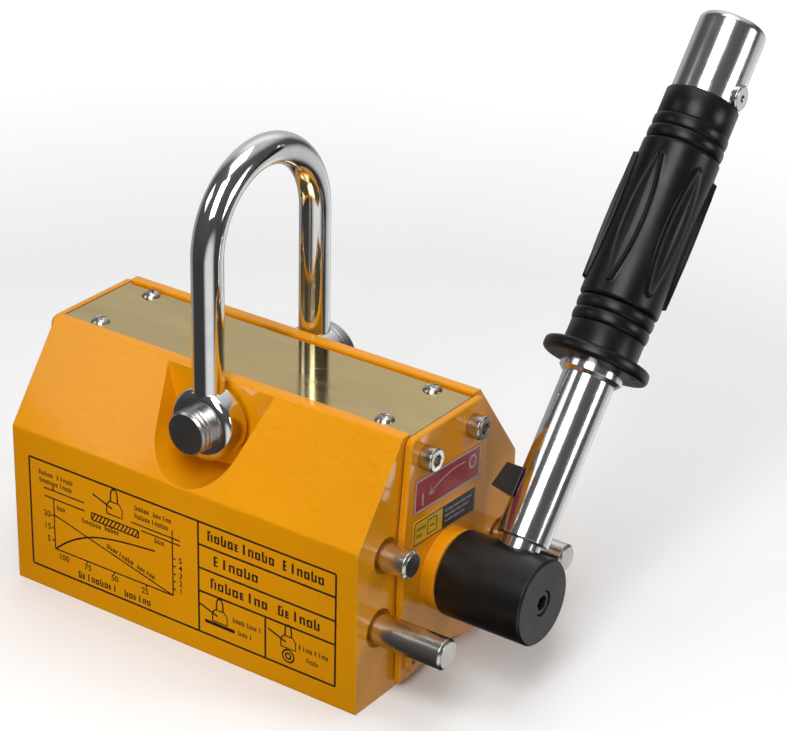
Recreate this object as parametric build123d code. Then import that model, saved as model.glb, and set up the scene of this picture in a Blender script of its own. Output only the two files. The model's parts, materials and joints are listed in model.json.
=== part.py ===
from build123d import *
import math
import os

# Switchable permanent magnetic lifter: a magnet block with a turning rotor, an on/off handle with a
# sliding grip, and a lifting shackle.
# Frame: millimetres, +Z up. The origin is at the middle of the block's bottom. +X points out of the
# handle end, -Y out of the long side with the data panel.

# ---------------------------------------------------------------- magnet block
body_length = 150.0
body_width = 93.0
top_width = 45.0
body_edge_radius = 1.5
groove_half_width = 16.0
groove_depth = 3.5
pole_gap = 8.0
rotor_floor = 14.4
rotor_bore_radius = 22.0
bore_roof = 2.1
stator_magnet_height = 6.5
pin_floor = 4.4
pin_radius = 8.0
pin_depth = 14.6
rotor_height = rotor_floor + rotor_bore_radius
stator_floor = rotor_height + rotor_bore_radius + bore_roof
shackle_pin_height = stator_floor + stator_magnet_height + pin_floor + pin_radius
body_height = shackle_pin_height + pin_depth
shoulder_height = body_height - 33.0

# ---------------------------------------------------------------- top plate
plate_width = 37.0
plate_thickness = 1.5
plate_recess = 1.0
plate_screw_inset = 13.5
plate_screw_spread = 27.6
plate_screw_radius = 1.75
plate_screw_length = 9.0
plate_screw_head_radius = 3.5
plate_screw_head_height = 2.0
plate_screw_recess_reach = plate_screw_head_radius * 0.55
plate_screw_recess_half_width = 0.45
plate_screw_recess_floor = plate_screw_head_height * 0.4
plate_screw_turns = (31.0, 12.0)

# ---------------------------------------------------------------- stator magnets
stator_magnet_width = 32.0
stator_magnet_count = 3
stator_magnet_end_gap = 6.0
magnet_joint = 0.6

# ---------------------------------------------------------------- end covers
cover_thickness = 2.5
gasket_thickness = 0.5
cover_low_half_width = 25.0
cover_top_half_width = 21.5
cover_taper_height = body_height - 36.0
cover_edge_gap = 0.8
cover_foot_gap = 2.6
cover_corner_radius = 3.0
cover_edge_chamfer = 0.5
gasket_inset = 0.4
spigot_length = 7.0
spigot_clearance = 0.1
boss_radius = 14.6
boss_height = 5.0
cover_screw_radius = 2.5
cover_screw_length = 12.0
cover_screw_head_radius = 4.25
cover_screw_head_height = 5.0
cover_screw_head_chamfer = 0.5
cover_screw_socket = 4.0
cover_screw_socket_depth = 2.8
cover_screw_high = (14.0, body_height - 9.3)
cover_screw_low = (19.0, 9.2)
low_head_radius = 4.0
low_head_height = 1.4
low_head_socket = 3.0
low_head_socket_depth = 1.0

# ---------------------------------------------------------------- bearings and rotor
shaft_radius = 9.0
bush_wall = 3.0
seal_length = 2.5
thrust_washer_thickness = 1.0
thrust_washer_radius = rotor_bore_radius - 2.5
rotor_gap = 0.4
rotor_end_play = 0.1
disc_thickness = 6.0
rotor_slab_width = rotor_bore_radius * 20 / 22
rotor_magnet_height = rotor_bore_radius * 32 / 22
rotor_magnet_count = 3
rotor_screw_radius = 2.5
rotor_screw_head_radius = 4.2
rotor_screw_head_height = 4.0
rotor_screw_grip = 10.0
rotor_screw_place = (rotor_bore_radius * 13.5 / 22, rotor_bore_radius * 8 / 22)
rotor_screw_socket = 4.0
rotor_screw_socket_depth = 2.3
rotor_screw_sink = 0.2
closed_stub_gap = 0.5
seal_recess = 0.3

# ---------------------------------------------------------------- stop pins and latch pin
stop_pin_depth = 22.0
pin_sink_depth = 1.6
pin_sink_margin = 1.4
pin_chamfer = 0.9
on_pin = {"radius": 5.5, "y": -33.9, "z": 27.8, "reach": 27.8}
off_pin = {"radius": 5.0, "y": 37.5, "z": 31.2, "reach": 28.6}
latch_pin = {"radius": 5.0, "y": -30.8, "z": 54.0, "reach": 10.8}

# ---------------------------------------------------------------- labels on the drive end cover
label_thickness = 0.2
label_tilt = -2.5
label_corner_radius = 0.8
position_label_size = (39.0, 12.4)
notice_label_size = (36.2, 9.0)
label_foot = rotor_height + boss_radius
label_roof = cover_screw_high[1] - cover_screw_head_radius
label_free = label_roof - label_foot - position_label_size[1] - notice_label_size[1]
notice_label_low = label_foot + label_free / 7
position_label_low = notice_label_low + notice_label_size[1] + label_free * 3 / 8
position_label_place = (-0.1, position_label_low + position_label_size[1] / 2)
notice_label_place = (-1.5, notice_label_low + notice_label_size[1] / 2)

# ---------------------------------------------------------------- hub
hub_radius = 15.2
hub_length = 33.8
hub_clearance = 0.4
hub_edge = 0.8
hub_web = 2.5
hub_screw_radius = 3.0
hub_screw_length = 16.0
hub_screw_head_radius = 4.5
hub_screw_head_height = 5.3
hub_screw_sink = 0.4
hub_screw_socket = 5.0
hub_screw_socket_depth = 3.0
hub_screw_edge = 0.4
key_size = 5.0
key_length = 18.0
key_inset = 2.6

# ---------------------------------------------------------------- handle, measured from the hub's axis
handle_tilt = 39.8
handle_offset = 17.8
tube_radius = 9.25
tube_wall = 2.25
tube_start = 17.2
tube_floor = 20.0
tube_end = 150.0
tube_foot_chamfer = 0.5
neck_radius = 7.0
neck_seat = 13.0
thread_radius = 5.0
thread_start = 4.0
guide_length = 12.0

# ---------------------------------------------------------------- sliding grip
grip_travel = 12.0
sleeve_radius = 11.2
sleeve_start = 76.5
sleeve_end = 196.0
sleeve_chamfer = 1.3
flange_radius = 19.0
rim_margin = 0.1
flange_start = 81.0
flange_thickness = 4.6
collar_radius = 13.2
flange_round = 1.6
barrel_start = 103.2
barrel_end = 161.4
barrel_low_radius = 14.15
barrel_high_radius = 13.9
pad_start = 107.8
pad_end = 155.8
pad_radius = 15.9
pad_end_radius = 15.5
pad_ramp = 0.5
low_ring_start = 93.9
low_ring_radius = 13.8
high_ring_end = 171.0
high_ring_radius = 13.7
ring_valley = 12.9
ring_taper = 0.1
ring_count = 2
cap_start = 181.0
cap_end = 210.8
cap_radius = 12.15
cap_edge = 3.0
cap_foot_chamfer = 0.4
cap_screw_place = 185.0
cap_screw_edge = 0.5
cap_screw_hole_depth = 3.0
cap_screw_head_sink = 0.8
cap_screw_radius = 4.6
cap_screw_top = 13.6
cap_screw_hole = 1.3
rod_radius = (tube_radius - tube_wall) * 3 / 7
rod_plug_start = 178.0
rod_plug_length = 15.0
collar_thickness = 4.0
spring_length = 38.0
spring_coil_radius = (rod_radius + tube_radius - tube_wall) / 2 - 0.2
spring_wire_radius = 0.7
spring_turns = 9

# ---------------------------------------------------------------- latch tongue, beside the tube
tongue_low = 30.8
tongue_high = 39.8
tongue_low_reach = 14.9
tongue_high_reach = 12.6
tongue_foot_slope = 0.158
tongue_lead = 8.0
tongue_trail = 6.0
tongue_edge = 0.5
stem_width = 6.0
slider_foot = 1.8
slider_head = 2.2
rod_thread_depth = 8.0

# ---------------------------------------------------------------- shackle
shackle_bar_radius = 5.6
shackle_leg_offset = 29.5
shackle_bow_height = shackle_pin_height + 59.2
eye_radius = 13.3
eye_thickness = 2 * shackle_bar_radius + 0.4
eye_edge = 3.2
pin_tail = 6.8
pin_end_chamfer = 0.8
pin_thread_pitch = 2.0
pin_thread_depth = 0.55
pin_thread_lead = 0.6
pin_thread_runout = 1.2
pin_shank_gap = 0.4
leg_foot_lift = 2.0
pin_head_radius = 12.0
pin_head_height = 4.2
pin_head_edge = 0.8
pocket_clearance = 5.0
pocket_back_gap = 0.5
pocket_flare = 16.0

# ---------------------------------------------------------------- fits
running_clearance = 0.05
seat_clearance = 0.02
slide_clearance = 0.4
spring_end_gap = 0.1

# ---------------------------------------------------------------- places worked out from the sizes
body_end = body_length / 2
cover_back = body_end + gasket_thickness
cover_face = cover_back + cover_thickness
boss_end = cover_face + boss_height
bush_radius = shaft_radius + bush_wall
bush_back = body_end - spigot_length
disc_face = bush_back - thrust_washer_thickness - rotor_end_play
disc_back = disc_face - disc_thickness
rotor_radius = rotor_bore_radius - rotor_gap
hub_back = boss_end + hub_clearance
hub_front = hub_back + hub_length
handle_x = hub_back + handle_offset
shaft_end = hub_front - hub_screw_sink - hub_screw_head_height - hub_web - rotor_end_play
tube_bore = tube_radius - tube_wall
slider_radius = tube_bore - slide_clearance
eye_inner = shackle_leg_offset - eye_thickness / 2
eye_outer = shackle_leg_offset + eye_thickness / 2
pocket_back = eye_inner - pocket_back_gap
pocket_radius = eye_radius + pocket_clearance
plate_floor = body_height - plate_recess - plate_thickness
slant_run = (body_width - top_width) / 2
slant_rise = body_height - shoulder_height
collar_start = tube_end - guide_length - spring_length - collar_thickness
latch_pin_tip = body_end + latch_pin["reach"]

rotor_axis = Location((0, 0, rotor_height))
handle_place = Plane(
    origin=(handle_x, 0, rotor_height),
    x_dir=(1, 0, 0),
    z_dir=(0, math.sin(math.radians(handle_tilt)), math.cos(math.radians(handle_tilt))),
).location


# ---------------------------------------------------------------- helpers
def block(x_span, y_span, z_span):
    """A box between the given limits."""
    size = [high - low for low, high in (x_span, y_span, z_span)]
    middle = [(high + low) / 2 for low, high in (x_span, y_span, z_span)]
    return Pos(*middle) * Box(*size)


def rod_x(radius, x_low, x_high, y=0.0, z=0.0):
    """A cylinder along X between two stations."""
    return Pos((x_low + x_high) / 2, y, z) * (Rot(0, 90, 0) * Cylinder(radius, x_high - x_low))


def rod_y(radius, y_low, y_high, z=0.0):
    """A cylinder along Y between two stations, at X = 0."""
    return Pos(0, (y_low + y_high) / 2, z) * (Rot(90, 0, 0) * Cylinder(radius, y_high - y_low))


def rod_z(radius, z_low, z_high):
    """A cylinder along Z between two stations."""
    return Pos(0, 0, (z_low + z_high) / 2) * Cylinder(radius, z_high - z_low)


def hex_x(across_flats, x_low, x_high, y=0.0, z=0.0):
    """A hexagonal prism along X, for sockets."""
    hexagon = RegularPolygon(across_flats / math.sqrt(3), 6)
    face = Plane((x_low, y, z), x_dir=(0, 1, 0), z_dir=(1, 0, 0)) * hexagon
    return extrude(face, x_high - x_low)


def turned(points):
    """A body of revolution about Z from (radius, height) points."""
    outline = Plane.XZ * make_face(Polyline(*points, close=True))
    return revolve(outline, Axis.Z)


def save(node, *pieces):
    """Write one node: a single solid, or a group of separate solids."""
    solids = [solid for piece in pieces for solid in piece.solids()]
    shape = solids[0] if len(solids) == 1 else Compound(children=solids)
    export_step(shape, os.path.join("parts", node + ".step"))


def mirrored_x(piece):
    """The same piece at the other end of the block."""
    return mirror(piece, Plane.YZ)


# ---------------------------------------------------------------- magnet block
def body_outline():
    """The block's section across its length."""
    half = body_width / 2
    top = top_width / 2
    points = [(-half, 0), (half, 0), (half, shoulder_height), (top, body_height), (-top, body_height),
              (-half, shoulder_height)]
    section = Plane.YZ * make_face(Polyline(*points, close=True))
    return Pos(-body_end, 0, 0) * extrude(section, body_length)


def groove_cut(margin):
    """The shallow arched groove along the bottom, grown by a margin."""
    radius = (groove_half_width ** 2 + groove_depth ** 2) / (2 * groove_depth)
    reach = cover_face + margin + 1
    return rod_x(radius + margin, -reach, reach, 0, groove_depth - radius)


def pocket_cut(side):
    """The scoop in a slanted face that makes room for a shackle eye."""
    lean = math.radians(pocket_flare)
    rise = body_height - shackle_pin_height + 5
    touch_x = pocket_radius * math.cos(lean)
    touch_z = -pocket_radius * math.sin(lean)
    top_x = touch_x + (rise - touch_z) * math.tan(lean)
    flare = Polyline((-touch_x, touch_z), (touch_x, touch_z), (top_x, rise), (-top_x, rise), close=True)
    profile = make_face(flare) + Circle(pocket_radius)
    depth = body_width / 2 - pocket_back + 1
    place = Plane((0, side * pocket_back, shackle_pin_height), x_dir=(-side, 0, 0), z_dir=(0, side, 0))
    return extrude(place * profile, depth)


def cover_screw_places():
    """Centres of the four cover screws on an end face."""
    return [(side * y, z) for y, z in (cover_screw_high, cover_screw_low) for side in (-1, 1)]


def plate_screw_places():
    """Centres of the four top plate screws."""
    x = body_end - plate_screw_inset
    y = plate_screw_spread / 2
    return [(sx * x, sy * y) for sx in (-1, 1) for sy in (-1, 1)]


def body_block():
    """The whole block with every cut, before it is divided into its halves."""
    solid = body_outline()
    long_edges = [edge for edge in solid.edges().filter_by(Axis.X) if edge.center().Z > 1]
    solid = fillet(long_edges, body_edge_radius)
    for side in (-1, 1):
        solid -= pocket_cut(side)
    solid -= groove_cut(0)
    solid -= rod_x(rotor_bore_radius, -body_end - 1, body_end + 1, 0, rotor_height)
    half_plate = plate_width / 2 + seat_clearance
    solid -= block((-body_end - 1, body_end + 1), (-half_plate, half_plate), (plate_floor, body_height + 1))
    half_magnet = stator_magnet_width / 2 + seat_clearance
    slot_top = stator_floor + stator_magnet_height + 2 * seat_clearance
    solid -= block((-body_end - 1, body_end + 1), (-half_magnet, half_magnet), (stator_floor, slot_top))
    solid -= rod_y(pin_radius + running_clearance, -body_width, body_width, shackle_pin_height)
    screw_hole = cover_screw_radius + seat_clearance
    screw_depth = cover_screw_length - cover_thickness - gasket_thickness + 2
    for y, z in cover_screw_places():
        for end in (-1, 1):
            ends = sorted((end * (body_end - screw_depth), end * (body_end + 1)))
            solid -= rod_x(screw_hole, ends[0], ends[1], y, z)
    for x, y in plate_screw_places():
        low = plate_floor - plate_screw_length
        solid -= Pos(x, y, 0) * rod_z(plate_screw_radius + seat_clearance, low, body_height)
    for pin in (on_pin, off_pin, latch_pin):
        seat = pin["radius"] + seat_clearance
        sink = pin["radius"] + pin_sink_margin
        solid -= rod_x(seat, body_end - stop_pin_depth, body_end + 1, pin["y"], pin["z"])
        solid -= rod_x(sink, body_end - pin_sink_depth, body_end + 1, pin["y"], pin["z"])
    return solid


def build_block():
    """Pole halves, spacers, stator magnets."""
    whole = body_block()
    half_gap = pole_gap / 2
    reach = body_width
    span = (-body_end - 1, body_end + 1)
    save("front_pole_block", whole & block(span, (-reach, -half_gap), (-1, body_height + 1)))
    save("rear_pole_block", whole & block(span, (half_gap, reach), (-1, body_height + 1)))
    fill = half_gap - seat_clearance
    save("lower_spacer", whole & block(span, (-fill, fill), (-1, rotor_height)))
    above_magnet = stator_floor + stator_magnet_height
    save("upper_spacer", whole & block(span, (-fill, fill), (above_magnet, body_height)))
    usable = body_length - 2 * stator_magnet_end_gap
    length = (usable - (stator_magnet_count - 1) * magnet_joint) / stator_magnet_count
    magnets = []
    for index in range(stator_magnet_count):
        low = -usable / 2 + index * (length + magnet_joint)
        half = stator_magnet_width / 2
        floor = stator_floor + seat_clearance
        magnets.append(block((low, low + length), (-half, half), (floor, floor + stator_magnet_height)))
    save("stator_magnets", *magnets)


def build_top_plate():
    """The polished plate in the top channel and its screws."""
    plate_top = plate_floor + plate_thickness
    plate = block((-body_end, body_end), (-plate_width / 2, plate_width / 2), (plate_floor, plate_top))
    screws = []
    for x, y in plate_screw_places():
        plate -= Pos(x, y, 0) * rod_z(plate_screw_radius + seat_clearance, plate_floor - 1, plate_top + 1)
        radius = (plate_screw_head_radius ** 2 + plate_screw_head_height ** 2) / (2 * plate_screw_head_height)
        dome = Pos(0, 0, plate_top + plate_screw_head_height - radius) * Sphere(radius)
        reach = plate_screw_head_radius + 1
        dome &= block((-reach, reach), (-reach, reach), (plate_top, plate_top + reach))
        screw = dome + rod_z(plate_screw_radius, plate_top - plate_screw_length, plate_top)
        arm = plate_screw_recess_reach
        slot = plate_screw_recess_half_width
        recess = (plate_top + plate_screw_recess_floor, plate_top + plate_screw_head_height + 1)
        screw -= block((-arm, arm), (-slot, slot), recess)
        screw -= block((-slot, slot), (-arm, arm), recess)
        turn = math.copysign(plate_screw_turns[0], x) + math.copysign(plate_screw_turns[1], y)
        screws.append(Pos(x, y, 0) * Rot(0, 0, turn) * screw)
    save("top_plate", plate)
    save("top_plate_screws", *screws)


# ---------------------------------------------------------------- end covers
def cover_outline(x_low, x_high, inset=0.0):
    """The cover's outline as a slab across X."""
    low = cover_low_half_width - inset
    high = cover_top_half_width - inset
    top = body_height - cover_edge_gap - inset
    points = [(-low, inset), (low, inset), (low, cover_taper_height), (high, top), (-high, top),
              (-low, cover_taper_height)]
    face = Plane.YZ * make_face(Polyline(*points, close=True))
    slab = Pos(x_low, 0, 0) * extrude(face, x_high - x_low)
    corners = [edge for edge in slab.edges().filter_by(Axis.X) if edge.center().Z > cover_taper_height + 1]
    slab = fillet(corners, cover_corner_radius)
    foot = block((x_low - 1, x_high + 1), (-low - 1, low + 1), (-1, cover_foot_gap + inset))
    return slab - groove_cut(cover_foot_gap + inset) - foot


def socket_screw(head_radius, head_height, across_flats, socket_depth):
    """A socket head screw along X, its head seated on X = 0."""
    head = rod_x(head_radius, 0, head_height)
    rim = head.edges().filter_by(GeomType.CIRCLE).sort_by(Axis.X)[-1]
    head = chamfer(rim, cover_screw_head_chamfer)
    shank = rod_x(cover_screw_radius, -cover_screw_length, 0)
    socket = hex_x(across_flats, head_height - socket_depth, head_height + 1)
    return head + shank - socket


def build_cover(with_boss):
    """One end cover, built at the handle end: plate, spigot in the bore and bearing seat."""
    cover = cover_outline(cover_back, cover_face)
    outer = cover.faces().sort_by(Axis.X)[-1]
    cover = chamfer(outer.edges(), cover_edge_chamfer)
    spigot = rotor_bore_radius - spigot_clearance
    cover += rod_x(spigot, bush_back, cover_back, 0, rotor_height)
    seat_end = cover_back
    if with_boss:
        seat_end = boss_end + 1
        boss = rod_x(boss_radius, cover_back, boss_end, 0, rotor_height)
        rim = boss.edges().filter_by(GeomType.CIRCLE).sort_by(Axis.X)[-1]
        cover += chamfer(rim, cover_edge_chamfer)
    cover -= rod_x(bush_radius + seat_clearance, bush_back - 1, seat_end, 0, rotor_height)
    for y, z in cover_screw_places():
        cover -= rod_x(cover_screw_radius + seat_clearance, cover_back - 1, cover_face + 1, y, z)
    return cover


def build_gasket():
    """The sealing sheet between a cover and the block, at the handle end."""
    gasket = cover_outline(body_end, cover_back, gasket_inset)
    gasket -= rod_x(rotor_bore_radius, body_end - 1, cover_back + 1, 0, rotor_height)
    for y, z in cover_screw_places():
        gasket -= rod_x(cover_screw_radius + seat_clearance, body_end - 1, cover_back + 1, y, z)
    return gasket


def build_ends():
    """Covers, gaskets, screws, bushes, seal and thrust washers at both ends."""
    save("drive_end_cover", build_cover(True))
    save("closed_end_cover", mirrored_x(build_cover(False)))
    gasket = build_gasket()
    save("drive_end_gasket", gasket)
    save("closed_end_gasket", mirrored_x(gasket))
    tall = socket_screw(cover_screw_head_radius, cover_screw_head_height, cover_screw_socket,
                        cover_screw_socket_depth)
    flat = socket_screw(low_head_radius, low_head_height, low_head_socket, low_head_socket_depth)
    places = cover_screw_places()
    high = [Pos(cover_face, y, z) * tall for y, z in places if z == cover_screw_high[1]]
    low = [Pos(cover_face, y, z) * flat for y, z in places if z == cover_screw_low[1]]
    save("drive_cover_screws", *high)
    save("drive_foot_screws", *low)
    save("closed_cover_screws", *[mirrored_x(Pos(cover_face, y, z) * flat) for y, z in places])
    bore = shaft_radius + running_clearance
    seal_back = boss_end - seal_length
    drive_bush = rod_x(bush_radius, bush_back, seal_back, 0, rotor_height)
    drive_bush -= rod_x(bore, bush_back - 1, boss_end + 1, 0, rotor_height)
    save("drive_bearing_bush", drive_bush)
    closed_bush = rod_x(bush_radius, bush_back, cover_back - seat_clearance, 0, rotor_height)
    closed_bush -= rod_x(bore, bush_back - 1, boss_end + 1, 0, rotor_height)
    save("closed_bearing_bush", mirrored_x(closed_bush))
    seal = rod_x(bush_radius, seal_back, boss_end - seal_recess, 0, rotor_height)
    seal -= rod_x(bore, bush_back, boss_end + 1, 0, rotor_height)
    save("shaft_seal", seal)
    washer = rod_x(thrust_washer_radius, bush_back - thrust_washer_thickness, bush_back, 0, rotor_height)
    washer -= rod_x(shaft_radius + slide_clearance, 0, boss_end, 0, rotor_height)
    save("drive_thrust_washer", washer)
    save("closed_thrust_washer", mirrored_x(washer))


def end_pin(pin):
    """A plain pin pressed into the block's end face."""
    low = body_end - stop_pin_depth + seat_clearance
    solid = rod_x(pin["radius"], low, body_end + pin["reach"], pin["y"], pin["z"])
    rim = solid.edges().filter_by(GeomType.CIRCLE).sort_by(Axis.X)[-1]
    return chamfer(rim, pin_chamfer)


def build_pins():
    """The pins that stop the handle and hold the latch tongue."""
    save("on_stop_pin", end_pin(on_pin))
    save("off_stop_pin", end_pin(off_pin))
    save("latch_pin", end_pin(latch_pin))


def label(size, place):
    """A thin sticker on the drive end cover, put on by hand and so a little crooked."""
    sheet = Box(label_thickness, size[0], size[1])
    corners = sheet.edges().filter_by(Axis.X)
    sheet = fillet(corners, label_corner_radius)
    return Pos(cover_face + label_thickness / 2, place[0], place[1]) * Rot(label_tilt, 0, 0) * sheet


def build_labels():
    """The two stickers on the drive end cover."""
    save("position_label", label(position_label_size, position_label_place))
    save("notice_label", label(notice_label_size, notice_label_place))


# ---------------------------------------------------------------- rotor
def build_rotor():
    """Rotor cheeks, magnets, filler strips, journals and their screws."""
    core = rod_x(rotor_radius, -disc_back, disc_back, 0, rotor_height)
    half_slab = rotor_slab_width / 2
    screws = []
    drive = rod_x(rotor_radius, disc_back, disc_face, 0, rotor_height)
    for sy in (-1, 1):
        for sz in (-1, 1):
            y = sy * rotor_screw_place[0]
            z = rotor_height + sz * rotor_screw_place[1]
            seat = disc_face - rotor_screw_head_height
            drive -= rod_x(rotor_screw_head_radius + seat_clearance, seat, disc_face + 1, y, z)
            drive -= rod_x(rotor_screw_radius + seat_clearance, disc_back - 1, disc_face, y, z)
            tip = disc_back - rotor_screw_grip
            hole = rod_x(rotor_screw_radius + seat_clearance, tip - 1, disc_back + 1, y, z)
            core = core - hole - mirrored_x(hole)
            screw = rod_x(rotor_screw_head_radius, seat, disc_face - rotor_screw_sink, y, z)
            screw += rod_x(rotor_screw_radius, tip, seat, y, z)
            socket_floor = disc_face - rotor_screw_sink - rotor_screw_socket_depth
            screw -= hex_x(rotor_screw_socket, socket_floor, disc_face + 1, y, z)
            screws += [screw, mirrored_x(screw)]
    reach = rotor_radius + 1
    span = (-disc_back, disc_back)
    heights = (rotor_height - reach, rotor_height + reach)
    save("front_rotor_cheek", core & block(span, (-reach, -half_slab), heights))
    save("rear_rotor_cheek", core & block(span, (half_slab, reach), heights))
    half_height = rotor_magnet_height / 2
    inner = half_slab - seat_clearance
    lift = half_height + seat_clearance
    strips = core & block(span, (-inner, inner), (rotor_height + lift, rotor_height + reach))
    strips += core & block(span, (-inner, inner), (rotor_height - reach, rotor_height - lift))
    save("rotor_filler_strips", strips)
    length = (2 * disc_back - (rotor_magnet_count + 1) * magnet_joint) / rotor_magnet_count
    magnets = []
    for index in range(rotor_magnet_count):
        low = -disc_back + magnet_joint + index * (length + magnet_joint)
        magnets.append(block((low, low + length), (-inner, inner),
                             (rotor_height - half_height, rotor_height + half_height)))
    save("rotor_magnets", *magnets)
    stub_end = cover_back - closed_stub_gap
    closed = mirrored_x(drive) + rod_x(shaft_radius, -stub_end, -disc_face, 0, rotor_height)
    save("closed_journal", closed)
    drive += rod_x(shaft_radius, disc_face, shaft_end, 0, rotor_height)
    key_slot, thread_hole = key_and_thread()
    drive = drive - key_slot - thread_hole
    screw_tip = shaft_end - hub_screw_length
    drive -= rod_x(hub_screw_radius + seat_clearance, screw_tip - 1, shaft_end + 1, 0, rotor_height)
    save("drive_journal", drive)
    save("rotor_screws", *screws)


def key_and_thread():
    """The keyway opposite the handle, and the threaded hole for the handle tube."""
    low = hub_back - handle_x + key_inset
    half = key_size / 2 + seat_clearance
    depth = shaft_radius - key_size / 2
    slot = block((low - seat_clearance, low + key_length + seat_clearance), (-half, half),
                 (-depth - key_size - seat_clearance, -depth + seat_clearance))
    hole = rod_z(thread_radius + seat_clearance, thread_start - seat_clearance, hub_radius + 1)
    return handle_place * slot, handle_place * hole


def build_hub():
    """The turned hub, its key and its screw."""
    hub = rod_x(hub_radius, hub_back, hub_front, 0, rotor_height)
    rims = hub.edges().filter_by(GeomType.CIRCLE)
    hub = chamfer(rims, hub_edge)
    bore_end = shaft_end + rotor_end_play
    hub -= rod_x(shaft_radius + seat_clearance, hub_back - 1, bore_end, 0, rotor_height)
    head_seat = bore_end + hub_web
    hub -= rod_x(hub_screw_radius + seat_clearance, bore_end - 1, head_seat + 1, 0, rotor_height)
    hub -= rod_x(hub_screw_head_radius + seat_clearance, head_seat, hub_front + 1, 0, rotor_height)
    key_slot, thread_hole = key_and_thread()
    neck_hole = handle_place * rod_z(neck_radius + seat_clearance, neck_seat, hub_radius + 1)
    save("handle_hub", hub - key_slot - thread_hole - neck_hole)
    low = hub_back - handle_x + key_inset
    depth = shaft_radius - key_size / 2
    key = block((low, low + key_length), (-key_size / 2, key_size / 2), (-depth - key_size, -depth))
    save("hub_key", handle_place * key)
    top = hub_front - hub_screw_sink
    screw = rod_x(hub_screw_head_radius, head_seat, top, 0, rotor_height)
    rim = screw.edges().filter_by(GeomType.CIRCLE).sort_by(Axis.X)[-1]
    screw = chamfer(rim, hub_screw_edge)
    screw += rod_x(hub_screw_radius, shaft_end - hub_screw_length, head_seat, 0, rotor_height)
    screw -= hex_x(hub_screw_socket, top - hub_screw_socket_depth, top + 1, 0, rotor_height)
    save("hub_screw", screw)


# ---------------------------------------------------------------- handle
def build_handle():
    """The slotted tube, the guide in its top and the return spring."""
    tube = rod_z(tube_radius, tube_start, tube_end)
    rim = tube.edges().filter_by(GeomType.CIRCLE).sort_by(Axis.Z)[0]
    tube = chamfer(rim, tube_foot_chamfer)
    tube += rod_z(neck_radius, neck_seat, tube_start)
    tube += rod_z(thread_radius, thread_start, neck_seat)
    tube -= rod_z(tube_bore, tube_floor, tube_end + 1)
    slot_half = stem_width / 2 + slide_clearance
    slot_low = tongue_low - slide_clearance
    slot_high = tongue_high + grip_travel + slide_clearance
    tube -= block((-tube_radius - 1, -2), (-slot_half, slot_half), (slot_low, slot_high))
    save("handle_tube", handle_place * tube)
    guide_low = tube_end - guide_length
    guide = rod_z(tube_bore - seat_clearance, guide_low, tube_end)
    guide -= rod_z(rod_radius + running_clearance, guide_low - 1, tube_end + 1)
    save("tube_guide", handle_place * guide)
    low = guide_low - spring_length + spring_end_gap + spring_wire_radius
    height = spring_length - 2 * (spring_end_gap + spring_wire_radius)
    path = Helix(height / spring_turns, height, spring_coil_radius)
    wire = Plane(path @ 0, z_dir=path % 0) * Circle(spring_wire_radius)
    spring = sweep(wire, path, is_frenet=True)
    save("latch_spring", handle_place * Pos(0, 0, low) * spring)


def build_tongue():
    """The latch tongue: a slider in the tube, a stem through the slot and a wedge beside the tube."""
    inner_foot = tongue_low - tongue_foot_slope * tongue_low_reach
    wedge = Polyline((-tongue_low_reach, tongue_low), (-tongue_high_reach, tongue_high), (0, tongue_high),
                     (0, inner_foot), close=True)
    outline = Plane.XZ * make_face(wedge)
    head = extrude(outline, tongue_lead) + extrude(outline, -tongue_trail)
    outer = [edge for edge in head.edges() if edge.center().X < -tongue_high_reach + 0.1]
    head = fillet(outer, tongue_edge)
    head -= rod_z(tube_radius + slide_clearance, tongue_low - 5, tongue_high + 5)
    stem_low = tongue_low + slide_clearance / 2
    stem_half = stem_width / 2
    stem = block((-tube_radius - 2, -1), (-stem_half, stem_half), (stem_low, tongue_high))
    slider = rod_z(slider_radius, tongue_low - slider_foot, tongue_high + slider_head)
    tongue = head + stem + slider
    top = tongue_high + slider_head
    tongue -= rod_z(rod_radius + seat_clearance, top - rod_thread_depth - seat_clearance, top + 1)
    save("latch_tongue", handle_place * tongue)


def ring_points(start, end, valley, peak_low, peak_high):
    """Outline points of a run of rounded rings, each a short arc."""
    points = []
    pitch = (end - start) / ring_count
    steps = 6
    for index in range(ring_count):
        share = index / max(ring_count - 1, 1)
        peak = peak_low + (peak_high - peak_low) * share
        for step in range(steps + 1):
            height = start + (index + step / steps) * pitch
            bulge = math.sqrt(max(0.0, 1 - (2 * step / steps - 1) ** 2))
            points.append((valley + (peak - valley) * bulge, height))
    return [point for place, point in enumerate(points) if place == 0 or point != points[place - 1]]


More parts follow.
